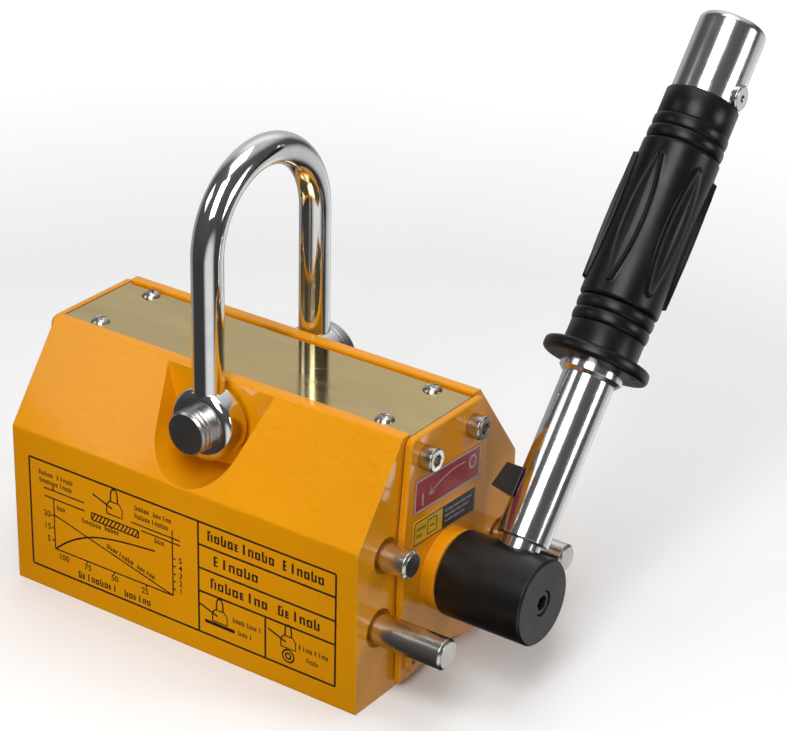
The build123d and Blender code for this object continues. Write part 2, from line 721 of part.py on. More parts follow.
def build_rubber_grip():
    """The moulded grip: finger flange, collar, rings, barrel, rings and top collar."""
    bore = sleeve_radius + seat_clearance
    flange_top = flange_start + flange_thickness
    low_first = low_ring_radius - ring_taper
    low = ring_points(low_ring_start, barrel_start, ring_valley, low_first, low_ring_radius)
    high_last = high_ring_radius - ring_taper
    high = ring_points(barrel_end, high_ring_end, ring_valley, high_ring_radius, high_last)
    outline = [(bore, flange_start), (flange_radius, flange_start), (flange_radius, flange_top),
               (collar_radius, flange_top), (collar_radius, low_ring_start)]
    outline += [point for point in low if point[1] > low_ring_start]
    middle = (pad_start + pad_end) / 2
    outline += [(barrel_low_radius, barrel_start), (barrel_low_radius, pad_start)]
    outline += [(pad_end_radius, pad_start + pad_ramp), (pad_radius, middle)]
    outline += [(pad_end_radius, pad_end - pad_ramp)]
    outline += [(barrel_high_radius, pad_end), (barrel_high_radius, barrel_end)]
    outline += high
    outline += [(collar_radius, high_ring_end), (collar_radius, cap_start), (bore, cap_start)]
    grip = turned(outline)
    circles = grip.edges().filter_by(GeomType.CIRCLE)
    flange_rims = [edge for edge in circles if edge.radius > flange_radius - rim_margin]
    grip = fillet(flange_rims, flange_round)
    boss = Pos(0, 0, cap_screw_place) * rod_x(cap_screw_radius + seat_clearance, 0, cap_radius + 5)
    save("rubber_grip", handle_place * (grip - boss))


def build_grip():
    """Sleeve, cap, cap screw, latch rod and spring collar."""
    bore = tube_radius + running_clearance
    sleeve = rod_z(sleeve_radius, sleeve_start, sleeve_end)
    rim = sleeve.edges().filter_by(GeomType.CIRCLE).sort_by(Axis.Z)[0]
    sleeve = chamfer(rim, sleeve_chamfer)
    sleeve -= rod_z(bore, sleeve_start - 1, sleeve_end + 1)
    cap = rod_z(cap_radius, cap_start, cap_end)
    rim = cap.edges().filter_by(GeomType.CIRCLE).sort_by(Axis.Z)[-1]
    cap = fillet(rim, cap_edge)
    low_rim = cap.edges().filter_by(GeomType.CIRCLE).sort_by(Axis.Z)[0]
    cap = chamfer(low_rim, cap_foot_chamfer)
    cap -= rod_z(sleeve_radius + seat_clearance, cap_start - 1, sleeve_end + seat_clearance)
    screw_line = Pos(0, 0, cap_screw_place)
    thread = cap_screw_radius / 2
    plug_radius = bore - seat_clearance
    plug_high = rod_plug_start + rod_plug_length
    rod = rod_z(rod_radius, tongue_high + slider_head - rod_thread_depth, rod_plug_start)
    rod += rod_z(plug_radius, rod_plug_start, plug_high)
    rod -= screw_line * rod_x(thread + seat_clearance, -thread, plug_radius + 1)
    head_seat = sleeve_radius - cap_screw_head_sink
    sleeve -= screw_line * rod_x(thread + seat_clearance, 0, sleeve_radius + 1)
    sleeve -= screw_line * rod_x(cap_screw_radius + seat_clearance, head_seat, sleeve_radius + 1)
    cap -= screw_line * rod_x(cap_screw_radius + seat_clearance, 0, cap_radius + 1)
    screw = rod_x(cap_screw_radius, head_seat, cap_screw_top)
    rim = screw.edges().filter_by(GeomType.CIRCLE).sort_by(Axis.X)[-1]
    screw = chamfer(rim, cap_screw_edge) + rod_x(thread, -thread + cap_screw_edge, head_seat)
    screw -= rod_x(cap_screw_hole, cap_screw_top - cap_screw_hole_depth, cap_screw_top + 1)
    save("grip_sleeve", handle_place * sleeve)
    save("sleeve_cap", handle_place * cap)
    save("latch_rod", handle_place * rod)
    save("cap_screw", handle_place * screw_line * screw)
    collar = rod_z(slider_radius, collar_start, collar_start + collar_thickness)
    collar -= rod_z(rod_radius + seat_clearance, collar_start - 1, collar_start + collar_thickness + 1)
    save("spring_collar", handle_place * collar)


# ---------------------------------------------------------------- shackle
def build_shackle():
    """The bow with its two eyes, and the screw pin."""
    leg_foot = shackle_pin_height + pin_radius + leg_foot_lift
    section = Plane.XY * Pos(0, shackle_leg_offset, 0) * Circle(shackle_bar_radius)
    turn = revolve(section, Axis.X, 180)
    bow = Pos(0, 0, shackle_bow_height) * turn
    for side in (-1, 1):
        leg = rod_z(shackle_bar_radius, leg_foot, shackle_bow_height)
        bow += Pos(0, side * shackle_leg_offset, 0) * leg
        ends = sorted((side * eye_inner, side * eye_outer))
        eye = rod_y(eye_radius, ends[0], ends[1], shackle_pin_height)
        eye = fillet(eye.edges().filter_by(GeomType.CIRCLE), eye_edge)
        bow += eye
    bow -= rod_y(pin_radius + seat_clearance, -body_width, body_width, shackle_pin_height)
    save("shackle_bow", bow)
    tail = eye_outer + pin_tail
    shank_end = -eye_outer - pin_shank_gap
    outline = [(0, -tail), (pin_radius - pin_end_chamfer, -tail), (pin_radius, -tail + pin_end_chamfer)]
    turns = int((pin_tail - pin_end_chamfer - pin_thread_runout) / pin_thread_pitch)
    start = -tail + pin_end_chamfer + pin_thread_lead
    for index in range(turns):
        low = start + index * pin_thread_pitch
        outline.append((pin_radius, low))
        outline.append((pin_radius - pin_thread_depth, low + pin_thread_pitch * 0.35))
        outline.append((pin_radius, low + pin_thread_pitch * 0.7))
    outline.append((pin_radius, shank_end))
    outline.append((pin_radius, eye_outer))
    outline.append((pin_head_radius - 0.2, eye_outer))
    outline.append((pin_head_radius, eye_outer + pin_head_edge))
    outline.append((pin_head_radius, eye_outer + pin_head_height - pin_head_edge))
    outline.append((pin_head_radius - pin_head_edge, eye_outer + pin_head_height))
    outline.append((0, eye_outer + pin_head_height))
    pin = Pos(0, 0, shackle_pin_height) * Rot(-90, 0, 0) * turned(outline)
    save("shackle_pin", pin)


os.makedirs("parts", exist_ok=True)
build_block()
build_top_plate()
build_ends()
build_pins()
build_labels()
build_rotor()
build_hub()
build_handle()
build_tongue()
build_rubber_grip()
build_grip()
build_shackle()
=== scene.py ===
"""Looks of a switchable permanent magnetic lifter, built round its fixed CAD frame."""

import json
import logging
import math
from dataclasses import dataclass
from enum import Enum

import bmesh
import bpy
from mathutils import Matrix, Vector


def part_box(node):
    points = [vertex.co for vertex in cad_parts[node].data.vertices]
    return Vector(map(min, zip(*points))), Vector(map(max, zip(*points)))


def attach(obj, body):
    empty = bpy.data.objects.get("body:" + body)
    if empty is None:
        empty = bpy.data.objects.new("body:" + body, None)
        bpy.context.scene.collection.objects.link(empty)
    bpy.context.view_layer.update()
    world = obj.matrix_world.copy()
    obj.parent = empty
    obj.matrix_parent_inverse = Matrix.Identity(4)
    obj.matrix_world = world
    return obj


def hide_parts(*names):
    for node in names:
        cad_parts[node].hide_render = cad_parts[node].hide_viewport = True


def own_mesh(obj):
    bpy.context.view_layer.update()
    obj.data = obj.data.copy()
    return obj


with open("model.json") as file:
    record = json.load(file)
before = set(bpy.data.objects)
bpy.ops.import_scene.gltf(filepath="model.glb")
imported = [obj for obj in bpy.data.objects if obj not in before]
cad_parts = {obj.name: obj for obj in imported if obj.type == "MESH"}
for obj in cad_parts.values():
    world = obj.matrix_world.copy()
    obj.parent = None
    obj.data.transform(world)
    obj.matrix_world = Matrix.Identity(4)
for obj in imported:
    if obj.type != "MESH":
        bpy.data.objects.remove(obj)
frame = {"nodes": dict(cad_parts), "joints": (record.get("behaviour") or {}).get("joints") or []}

LOG = logging.getLogger("lifter")
MM = 0.001
RGB = tuple[float, float, float]
Triple = tuple[float, float, float]
Pair = tuple[float, float]
Stroke = tuple[float, list[Pair]]
BMesh = bmesh.types.BMesh
Material = bpy.types.Material
Socket = bpy.types.NodeSocket


# ------------------------------------------------------------------ shader building
class Nodes:
    """A node tree while it is being wired up."""

    def __init__(self, tree: bpy.types.NodeTree) -> None:
        """Empty the tree.

        Args:
            tree: The tree to fill.
        """
        self.tree = tree
        tree.nodes.clear()

    def put(self, kind: str, links: dict | None = None, values: dict | None = None,
            **fields) -> bpy.types.Node:
        """Add a node.

        Args:
            kind: Blender's node type.
            links: Input name to the socket that feeds it.
            values: Input name to a fixed value.
            **fields: The node's own settings.

        Returns:
            The new node.
        """
        node = self.tree.nodes.new(kind)
        for field, value in fields.items():
            setattr(node, field, value)
        for name, value in (values or {}).items():
            node.inputs[name].default_value = value
        for name, socket in (links or {}).items():
            self.tree.links.new(socket, node.inputs[name])
        return node

    def band(self, socket: Socket, low: float, high: float, start: float = 0.0, end: float = 1.0) -> Socket:
        """Map a range of a value to another, clamped.

        Args:
            socket: The value to map.
            low: Where the output is start.
            high: Where the output is end.
            start: Output at low.
            end: Output at high.

        Returns:
            The mapped value socket.
        """
        values = {"From Min": low, "From Max": high, "To Min": start, "To Max": end}
        return self.put("ShaderNodeMapRange", {"Value": socket}, values, clamp=True).outputs["Result"]

    def calc(self, operation: str, first: Socket, second: Socket | float) -> Socket:
        """Add a maths node.

        Args:
            operation: Blender's operation name.
            first: The first value.
            second: The second value, a socket or a number.

        Returns:
            The result socket.
        """
        if isinstance(second, Socket):
            return self.put("ShaderNodeMath", {0: first, 1: second}, operation=operation).outputs[0]
        return self.put("ShaderNodeMath", {0: first}, {1: second}, operation=operation).outputs[0]


class Shader(Nodes):
    """One surface material while it is being wired up."""

    def __init__(self, name: str) -> None:
        """Start an empty material with a surface shader and an output.

        Args:
            name: The material's name.
        """
        self.material = bpy.data.materials.new(name)
        self.material.use_nodes = True
        super().__init__(self.material.node_tree)
        self.surface = self.put("ShaderNodeBsdfPrincipled")
        self.put("ShaderNodeOutputMaterial", {"Surface": self.surface.outputs["BSDF"]})
        coordinates = self.put("ShaderNodeTexCoord")
        self.place = coordinates.outputs["Object"]
        self.facing = coordinates.outputs["Normal"]

    def noise(self, scale: float, detail: float = 3.0, rough: float = 0.55,
              place: Socket | None = None) -> Socket:
        """Add cloudy noise.

        Args:
            scale: Features per metre.
            detail: Number of finer layers.
            rough: Strength of the finer layers.
            place: Coordinates; the object's own when left out.

        Returns:
            The noise's value socket.
        """
        values = {"Scale": scale, "Detail": detail, "Roughness": rough}
        return self.put("ShaderNodeTexNoise", {"Vector": place or self.place}, values).outputs["Fac"]

    def blend(self, share: Socket, first: RGB | Socket, second: RGB | Socket, most: float = 1.0) -> Socket:
        """Mix two colours.

        Args:
            share: How much of the second colour shows.
            first: The colour at share 0.
            second: The colour at share 1.
            most: What the share is multiplied by.

        Returns:
            The mixed colour socket.
        """
        if most != 1.0:
            share = self.calc("MULTIPLY", share, most)
        node = self.put("ShaderNodeMix", {0: share}, data_type="RGBA")
        for index, colour in ((6, first), (7, second)):
            if isinstance(colour, Socket):
                self.tree.links.new(colour, node.inputs[index])
            else:
                node.inputs[index].default_value = (*colour, 1.0)
        return node.outputs[2]

    def rounded(self, radius: float) -> Socket:
        """Surface direction with the sharp edges eased over a radius in metres."""
        return self.put("ShaderNodeBevel", values={"Radius": radius}, samples=6).outputs["Normal"]

    def edges(self, radius: float) -> Socket:
        """Mask that rises towards 1 at the outer and inner edges.

        Args:
            radius: Reach of the mask from an edge, in metres.

        Returns:
            The mask socket.
        """
        soft = self.rounded(radius)
        flat = self.put("ShaderNodeNewGeometry").outputs["Normal"]
        dot = self.put("ShaderNodeVectorMath", {0: soft, 1: flat}, operation="DOT_PRODUCT")
        return self.band(dot.outputs["Value"], 0.97, 0.72)

    def relief(self, height: Socket, depth: float, strength: float = 1.0,
               normal: Socket | None = None) -> Socket:
        """Turn a height value into a bumped surface direction.

        Args:
            height: Height from 0 to 1.
            depth: Height of 1 in metres.
            strength: Share of the effect.
            normal: Surface direction to start from.

        Returns:
            The bumped direction socket.
        """
        links = {"Height": height}
        if normal is not None:
            links["Normal"] = normal
        return self.put("ShaderNodeBump", links, {"Distance": depth, "Strength": strength}).outputs["Normal"]

    def stretched(self, scale: Triple, turn: Triple = (0.0, 0.0, 0.0)) -> Socket:
        """Coordinates turned and stretched.

        Args:
            scale: Factor along each of the turned axes.
            turn: Turn of the pattern's own axes, in radians.

        Returns:
            The coordinate socket.
        """
        local = self.put("ShaderNodeMapping", {"Vector": self.place}, {"Rotation": turn},
                         vector_type="TEXTURE")
        grown = self.put("ShaderNodeMapping", {"Vector": local.outputs[0]}, {"Scale": scale},
                         vector_type="POINT")
        return grown.outputs[0]

    def turned_lines(self, origin: Vector, turn: Triple, density: float) -> Socket:
        """Fine lathe lines round an axis, on the sides and on the end faces.

        Args:
            origin: A point on the axis.
            turn: Turn that brings the pattern's Z onto the axis, in radians.
            density: Lines per metre.

        Returns:
            A value socket from 0 to 1.
        """
        local = self.put("ShaderNodeMapping", {"Vector": self.place}, {"Location": origin, "Rotation": turn},
                         vector_type="TEXTURE").outputs[0]
        parts = self.put("ShaderNodeSeparateXYZ", {"Vector": local})
        square = self.calc("MULTIPLY", parts.outputs["X"], parts.outputs["X"])
        other = self.calc("MULTIPLY", parts.outputs["Y"], parts.outputs["Y"])
        radial = self.calc("SQRT", self.calc("ADD", square, other), 0.0)
        both = self.put("ShaderNodeCombineXYZ", {"X": radial, "Y": parts.outputs["Z"]}).outputs[0]
        return self.noise(density, 4.0, 0.7, both)

    def finish(self, colour: RGB | Socket, roughness: float | Socket,
               normal: Socket | None = None, **fixed: float) -> Material:
        """Wire the surface and hand over the material.

        Args:
            colour: Base colour.
            roughness: Surface roughness.
            normal: Surface direction.
            **fixed: Other surface inputs, with underscores for spaces.

        Returns:
            The finished material.
        """
        for name, value in (("Base Color", colour), ("Roughness", roughness), ("Normal", normal)):
            if isinstance(value, Socket):
                self.tree.links.new(value, self.surface.inputs[name])
            elif value is not None:
                self.surface.inputs[name].default_value = (*value, 1.0) if name == "Base Color" else value
        for name, value in fixed.items():
            self.surface.inputs[name.replace("_", " ")].default_value = value
        return self.material


# ------------------------------------------------------------------ finishes
def shade(colour: RGB, factor: float) -> RGB:
    """The colour with each channel multiplied by a factor."""
    return tuple(channel * factor for channel in colour)


@dataclass(frozen=True)
class Finish:
    """A named surface with one main colour."""

    name: str
    colour: RGB


@dataclass(frozen=True)
class Enamel(Finish):
    """Glossy sprayed enamel with orange peel, faint dust, rubbed edges and a painted highlight along every
    edge.
    """

    deep: RGB
    # Lighter colour put at the edges: a painted edge highlight on every edge, and rubbed wear where scuffed.
    edge_colour: RGB
    peel: float = 620.0
    peel_depth: float = 0.00007
    lump: float = 300.0
    lump_depth: float = 0.00034

    def make(self) -> Material:
        """Return the enamel material."""
        s = Shader(self.name)
        clouds = s.noise(9.0, 4.0, 0.6)
        tone = s.blend(s.band(clouds, 0.32, 0.7), self.deep, self.colour)
        edge = s.edges(0.0011)
        scuffs = s.noise(260.0, 5.0, 0.7)
        worn = s.calc("MULTIPLY", edge, s.band(scuffs, 0.42, 0.62))
        # Every edge is painted lighter here, as a painted edge highlight; the scuffed share on the next line
        # is real wear.
        tone = s.blend(edge, tone, self.edge_colour, 0.35)
        tone = s.blend(worn, tone, self.edge_colour, 0.4)
        dust = s.band(s.noise(1400.0, 2.0, 0.5), 0.7, 0.78)
        tone = s.blend(dust, tone, (0.55, 0.42, 0.22), 0.12)
        slope = s.put("ShaderNodeSeparateXYZ", {"Vector": s.facing}).outputs["Z"]
        rough_side = s.calc("MULTIPLY", s.band(slope, 0.15, 0.5, 0.25, 1.0),
                            s.band(slope, 0.9, 0.97, 1.0, 0.4))
        patches = s.band(s.noise(38.0, 2.0, 0.5), 0.4, 0.65, 0.35, 1.0)
        lumps = s.calc("MULTIPLY", s.noise(self.lump, 1.0, 0.4), s.calc("MULTIPLY", rough_side, patches))
        normal = s.rounded(0.0009)
        normal = s.relief(lumps, self.lump_depth, 1.0, normal)
        normal = s.relief(s.noise(self.peel, 2.0, 0.5), self.peel_depth, 0.6, normal)
        gloss = s.band(s.noise(70.0, 4.0, 0.6), 0.3, 0.75, 0.26, 0.4)
        return s.finish(tone, gloss, normal, Coat_Weight=0.45, Coat_Roughness=0.07, Specular_IOR_Level=0.12)


@dataclass(frozen=True)
class Chrome(Finish):
    """Bright plating over polished steel, with smudges, hairlines and tiny pits."""

    gloss: float = 0.05
    smudge: float = 0.11
    hairlines: Triple = (2200.0, 2200.0, 120.0)
    turn: Triple = (0.0, 0.0, 0.0)
    edge: float = 0.0004

    def make(self) -> Material:
        """Return the chrome material."""
        s = Shader(self.name)
        smudges = s.noise(85.0, 5.0, 0.65)
        lines = s.noise(1.0, 3.0, 0.6, s.stretched(self.hairlines, turn=self.turn))
        pits = s.band(s.noise(1900.0, 1.0, 0.4), 0.73, 0.8)
        tone = s.blend(s.band(smudges, 0.35, 0.75), self.colour, shade(self.colour, 0.86))
        tone = s.blend(pits, tone, (0.2, 0.18, 0.16), 0.5)
        haze = s.band(smudges, 0.45, 0.8, self.gloss, self.smudge)
        haze = s.calc("ADD", haze, s.band(lines, 0.45, 0.75, 0.0, 0.05))
        normal = s.relief(lines, 0.000004, 0.5, s.rounded(self.edge))
        return s.finish(tone, haze, normal, Metallic=1.0)


@dataclass(frozen=True)
class TurnedSteel(Finish):
    """Machined metal with lathe lines round an axis, darker where oil has stayed."""

    origin: Triple = (0.0, 0.0, 0.0)
    turn: Triple = (0.0, 0.0, 0.0)
    gloss: float = 0.24
    spread: float = 0.16
    density: float = 2600.0
    depth: float = 0.00002

    def make(self) -> Material:
        """Return the turned metal material."""
        s = Shader(self.name)
        rings = s.turned_lines(Vector(self.origin), self.turn, self.density)
        stain = s.noise(120.0, 5.0, 0.65)
        dark = shade(self.colour, 0.55)
        tone = s.blend(s.band(rings, 0.3, 0.72, 0.0, 0.55), self.colour, dark)
        tone = s.blend(s.band(stain, 0.52, 0.8, 0.0, 0.5), tone, dark)
        gloss = s.band(stain, 0.3, 0.75, self.gloss, self.gloss + self.spread)
        normal = s.relief(rings, self.depth, 0.8, s.rounded(0.0003))
        return s.finish(tone, gloss, normal, Metallic=1.0)


@dataclass(frozen=True)
class PolishedPlate(Finish):
    """Mirror-bright rolled plate with a warm tint and straight polishing lines."""

    def make(self) -> Material:
        """Return the polished plate material."""
        s = Shader(self.name)
        lines = s.noise(1.0, 4.0, 0.6, s.stretched((18.0, 2600.0, 2600.0)))
        wipes = s.noise(1.0, 4.0, 0.6, s.stretched((26.0, 90.0, 60.0)))
        tone = s.blend(s.band(wipes, 0.3, 0.75), self.colour, shade(self.colour, 0.82))
        gloss = s.calc("ADD", s.band(wipes, 0.35, 0.75, 0.05, 0.13), s.band(lines, 0.5, 0.8, 0.0, 0.06))
        scratch = s.band(s.noise(1.0, 2.0, 0.5, s.stretched((30.0, 900.0, 900.0), turn=(0.0, 0.0, 0.5))),
                         0.68, 0.72)
        gloss = s.calc("ADD", gloss, s.calc("MULTIPLY", scratch, 0.12))
        normal = s.relief(lines, 0.000003, 0.5, s.rounded(0.0002))
        return s.finish(tone, gloss, normal, Metallic=1.0)


@dataclass(frozen=True)
class PowderCoat(Finish):
    """Black satin coat with a fine grain and rubbed edges."""

    edge_colour: RGB
    grain: float = 2400.0
    depth: float = 0.00003
    gloss: float = 0.36

    def make(self) -> Material:
        """Return the coated material."""
        s = Shader(self.name)
        grain = s.noise(self.grain, 3.0, 0.6)
        edge = s.edges(0.0007)
        wear = s.calc("MULTIPLY", edge, s.band(s.noise(420.0, 4.0, 0.7), 0.4, 0.65))
        speck = s.band(s.noise(3300.0, 1.0, 0.5), 0.66, 0.74)
        tone = s.blend(wear, self.colour, self.edge_colour, 0.55)
        tone = s.blend(speck, tone, shade(self.edge_colour, 2.2), 0.35)
        gloss = s.band(s.noise(60.0, 4.0, 0.6), 0.3, 0.75, self.gloss, self.gloss + 0.16)
        normal = s.relief(grain, self.depth, 0.7, s.rounded(0.0005))
        return s.finish(tone, gloss, normal, Specular_IOR_Level=0.5)


@dataclass(frozen=True)
class MouldedRubber(Finish):
    """Dense black rubber, satin from the mould, with faint dust in it."""

    gloss: float = 0.34

    def make(self) -> Material:
        """Return the rubber material."""
        s = Shader(self.name)
        bloom = s.noise(48.0, 5.0, 0.65)
        tone = s.blend(s.band(bloom, 0.45, 0.8, 0.0, 0.6), self.colour, shade(self.colour, 1.9))
        lint = s.band(s.noise(1700.0, 1.0, 0.4), 0.74, 0.8)
        tone = s.blend(lint, tone, (0.12, 0.12, 0.12), 0.25)
        gloss = s.band(bloom, 0.3, 0.75, self.gloss, self.gloss + 0.18)
        normal = s.relief(s.noise(2600.0, 3.0, 0.55), 0.00002, 0.6)
        return s.finish(tone, gloss, normal, Specular_IOR_Level=0.3)


@dataclass(frozen=True)
class PrintedFilm(Finish):
    """Printed sticker film: satin, with a slight wave, dulled patches and a painted highlight along its
    edges.
    """

    gloss: float = 0.32

    def make(self) -> Material:
        """Return the film material."""
        s = Shader(self.name)
        fade = s.noise(160.0, 4.0, 0.6)
        tone = s.blend(s.band(fade, 0.3, 0.8), self.colour, shade(self.colour, 0.74))
        # The film's edges are painted lighter: a painted edge highlight.
        tone = s.blend(s.edges(0.0003), tone, tuple(min(1.0, c * 1.5 + 0.06) for c in self.colour), 0.4)
        gloss = s.band(s.noise(300.0, 3.0, 0.5), 0.3, 0.8, self.gloss, self.gloss + 0.18)
        normal = s.relief(s.noise(210.0, 2.0, 0.5), 0.00005, 0.5)
        return s.finish(tone, gloss, normal, Coat_Weight=0.2, Coat_Roughness=0.15)


@dataclass(frozen=True)
class Ink(Finish):
    """Screen-printed ink, thin in places."""

    thin: RGB

    def make(self) -> Material:
        """Return the ink material."""
        s = Shader(self.name)
        cover = s.band(s.noise(900.0, 4.0, 0.6), 0.6, 0.85, 0.0, 0.4)
        tone = s.blend(cover, self.colour, self.thin)
        gloss = s.band(s.noise(500.0, 3.0, 0.5), 0.3, 0.8, 0.38, 0.55)
        normal = s.relief(s.noise(1500.0, 2.0, 0.5), 0.00001, 0.5)
        return s.finish(tone, gloss, normal)


@dataclass(frozen=True)
class StudioPaper(Finish):
    """Plain pale floor with the faintest mottling."""

    glare: Pair = (0.3, 1.1)

    def make(self) -> Material:
        """Return the floor material, which brightens away from the object."""
        s = Shader(self.name)
        tone = s.blend(s.noise(3.0, 2.0, 0.5), self.colour, shade(self.colour, 0.985))
        away = s.put("ShaderNodeVectorMath", {0: s.place}, operation="LENGTH").outputs["Value"]
        s.tree.links.new(s.band(away, *self.glare, 0.0, 1.0), s.surface.inputs["Emission Strength"])
        return s.finish(tone, 0.75, None, Specular_IOR_Level=0.2, Emission_Color=(1.0, 1.0, 1.0, 1.0))


X_AXIS_TURN = (0.0, math.pi / 2, 0.0)
Y_AXIS_TURN = (math.pi / 2, 0.0, 0.0)

# Sizes of the small open shapes that stand for print, as shares of their height, pitch or pen width.
MARK_PITCH, MARK_PEN, MARK_LOW, MARK_WIDTH, MARK_BAR = 0.78, 0.2, 0.74, 0.76, 0.8
MARK_BARS = (("foot", "top"), ("foot",), ("foot", "top"), ("top",), ("top",), ("foot", "middle", "top"))
OPEN_KIND = 5
NUMBER_BOLDNESS = 0.012


# ------------------------------------------------------------------ mesh helpers
def place_mesh(name: str, bm: BMesh, place: Matrix, material: Material, body: str,
               sharp_deg: float = 40.0) -> bpy.types.Object:
    """Turn a bmesh into a finished piece that rides on a body.

    Args:
        name: The piece's name.
        bm: The shape, in its own coordinates.
        place: Matrix from those coordinates to the row frame in metres.
        material: The piece's material.
        body: CAD body that it rides on.
        sharp_deg: Edges that turn by more than this stay sharp.

    Returns:
        The new object.
    """
    bmesh.ops.transform(bm, matrix=place, verts=bm.verts)
    bmesh.ops.recalc_face_normals(bm, faces=bm.faces)
    limit = math.radians(sharp_deg)
    for face in bm.faces:
        face.smooth = True
    for edge in bm.edges:
        edge.smooth = edge.calc_face_angle(0.0) < limit
    mesh = bpy.data.meshes.new(name)
    bm.to_mesh(mesh)
    bm.free()
    mesh.materials.append(material)
    piece = bpy.data.objects.new(name, mesh)
    bpy.context.scene.collection.objects.link(piece)
    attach(piece, body)
    LOG.info("piece %s on %s: %d faces", name, body, len(mesh.polygons))
    return piece


def lathe(profile: list[Pair], steps: int) -> BMesh:
    """Spin a closed outline about Z.

    Args:
        profile: (radius, height) points of a closed outline clear of the axis.
        steps: Number of steps round the full turn.

    Returns:
        The turned shape.
    """
    bm = bmesh.new()
    verts = [bm.verts.new((radius, 0.0, height)) for radius, height in profile]
    edges = [bm.edges.new((verts[i], verts[(i + 1) % len(verts)])) for i in range(len(verts))]
    bmesh.ops.spin(bm, geom=verts + edges, cent=(0, 0, 0), axis=(0, 0, 1), angle=math.tau, steps=steps,
                   use_merge=True, use_duplicate=False)
    bmesh.ops.remove_doubles(bm, verts=bm.verts, dist=1e-5)
    return bm


class Print:
    """Thin ink in the XY plane, in the print's own millimetres."""

    def __init__(self, thick: float) -> None:
        """Start an empty print.

        Args:
            thick: Thickness of the ink above and below the plane, together.
        """
        self.bm = bmesh.new()
        self.thick = thick

    def block(self, centre: Pair, size: Pair) -> None:
        """Add one flat block of print.

        Args:
            centre: Middle of the block.
            size: Width and height.
        """
        matrix = Matrix.Translation((*centre, 0.0)) @ Matrix.Diagonal((*size, self.thick, 1.0))
        bmesh.ops.create_cube(self.bm, size=1.0, matrix=matrix)

    def word(self, start: Pair, length: float, height: float) -> None:
        """Add a run of small open shapes that stands for a line of print.

        Args:
            start: Left end of the run, at mid height.
            length: Length of the run.
            height: Height of the tallest shapes.
        """
        count = max(1, round(length / (height * MARK_PITCH)))
        pitch = length / count
        pen = height * MARK_PEN
        low = height * MARK_LOW
        wide = pitch * MARK_WIDTH
        bar = pen * MARK_BAR
        base = start[1] - height / 2
        for index in range(count):
            left = start[0] + index * pitch
            kind = (index * 5 + round(length * 3)) % len(MARK_BARS)
            tall = height if index == 0 or kind in (1, 4) else low
            if kind == 4 and index:
                self.block((left + wide / 2, base + tall / 2), (pen * 1.1, tall))
                continue
            self.block((left + pen / 2, base + tall / 2), (pen, tall))
            lifts = {"foot": bar / 2, "middle": tall / 2, "top": tall - bar / 2}
            for name in MARK_BARS[kind]:
                self.block((left + wide / 2, base + lifts[name]), (wide - 2 * pen, bar))
            if kind != OPEN_KIND:
                self.block((left + wide - pen / 2, base + low / 2), (pen, low))

    def curve(self, curve: bpy.types.Curve, place: Matrix) -> None:
        """Add a curve's or a text's solid shape, and drop the curve.

        Args:
            curve: The curve.
            place: Matrix for the shape.
        """
        holder = bpy.data.objects.new(curve.name, curve)
        mesh = bpy.data.meshes.new_from_object(holder)
        mesh.transform(place)
        self.bm.from_mesh(mesh)
        bpy.data.objects.remove(holder)
        bpy.data.curves.remove(curve)
        bpy.data.meshes.remove(mesh)

    def number(self, text: str, centre: Pair, size: float) -> None:
        """Add a plain scale number.

        Args:
            text: The number.
            centre: Middle of the number.
            size: Letter size.
        """
        curve = bpy.data.curves.new("number", "FONT")
        curve.body = text
        curve.size = size
        curve.align_x, curve.align_y = "CENTER", "CENTER"
        curve.extrude = self.thick / 2
        curve.offset = size * NUMBER_BOLDNESS
        self.curve(curve, Matrix.Translation((*centre, 0.0)))

    def strokes(self, strokes: list[Stroke], smooth: bool = False) -> None:
        """Add drawn lines.

        Args:
            strokes: Line width and points of each stroke.
            smooth: Whether the strokes curve through their points.
        """
        for width, points in strokes:
            curve = bpy.data.curves.new("stroke", "CURVE")
            curve.dimensions = "3D"
            curve.bevel_depth = width / 2
            curve.bevel_resolution = 1
            curve.use_fill_caps = True
            spline = curve.splines.new("NURBS" if smooth else "POLY")
            spline.points.add(len(points) - 1)
            for point, (x, y) in zip(spline.points, points):
                point.co = (x, y, 0.0, 1.0)
            if smooth:
                spline.order_u = 4
                spline.use_endpoint_u = True
                spline.resolution_u = 10
            self.curve(curve, Matrix.Diagonal((1.0, 1.0, self.thick / width, 1.0)))


def arc_points(centre: Pair, radii: Pair, count: int) -> list[Pair]:
    """Points round a closed ellipse.

    Args:
        centre: Middle.
        radii: Half width and half height.
        count: Number of sides.

    Returns:
        The points, the first one again at the end.
    """
    turns = [math.tau * index / count for index in range(count + 1)]
    return [(centre[0] + radii[0] * math.cos(turn), centre[1] + radii[1] * math.sin(turn)) for turn in turns]


# ------------------------------------------------------------------ frame places
class Body(Enum):
    """The CAD bodies that pieces ride on."""

    BLOCK = "magnet_block"
    ROTOR = "rotor_and_handle"
    GRIP = "sliding_grip"


@dataclass(frozen=True)
class HandleFrame:
    """The handle's own axes: X along the rotor's axis, Z out along the handle, in millimetres."""

    matrix: Matrix

    @classmethod
    def from_record(cls) -> "HandleFrame":
        """Read the handle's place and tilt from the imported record's joints."""
        joints = {joint["name"]: joint for joint in frame["joints"]}
        low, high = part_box("handle_tube")
        out = Vector(joints["grip_slide"]["axis"]).normalized()
        side = Vector((1.0, 0.0, 0.0))
        across = out.cross(side)
        origin = Vector(((low.x + high.x) / 2, 0.0, joints["handle_turn"]["pos_m"][2]))
        rotation = Matrix((side, across, out)).transposed().to_4x4()
        return cls(Matrix.Translation(origin) @ rotation @ Matrix.Scale(MM, 4))

    @property
    def axis(self) -> Vector:
        """Direction out along the handle."""
        return (self.matrix.to_3x3() @ Vector((0.0, 0.0, 1.0))).normalized()

    @property
    def turn(self) -> Triple:
        """Turn that brings Z onto the handle's axis, in radians."""
        return tuple(self.matrix.to_3x3().normalized().to_euler())


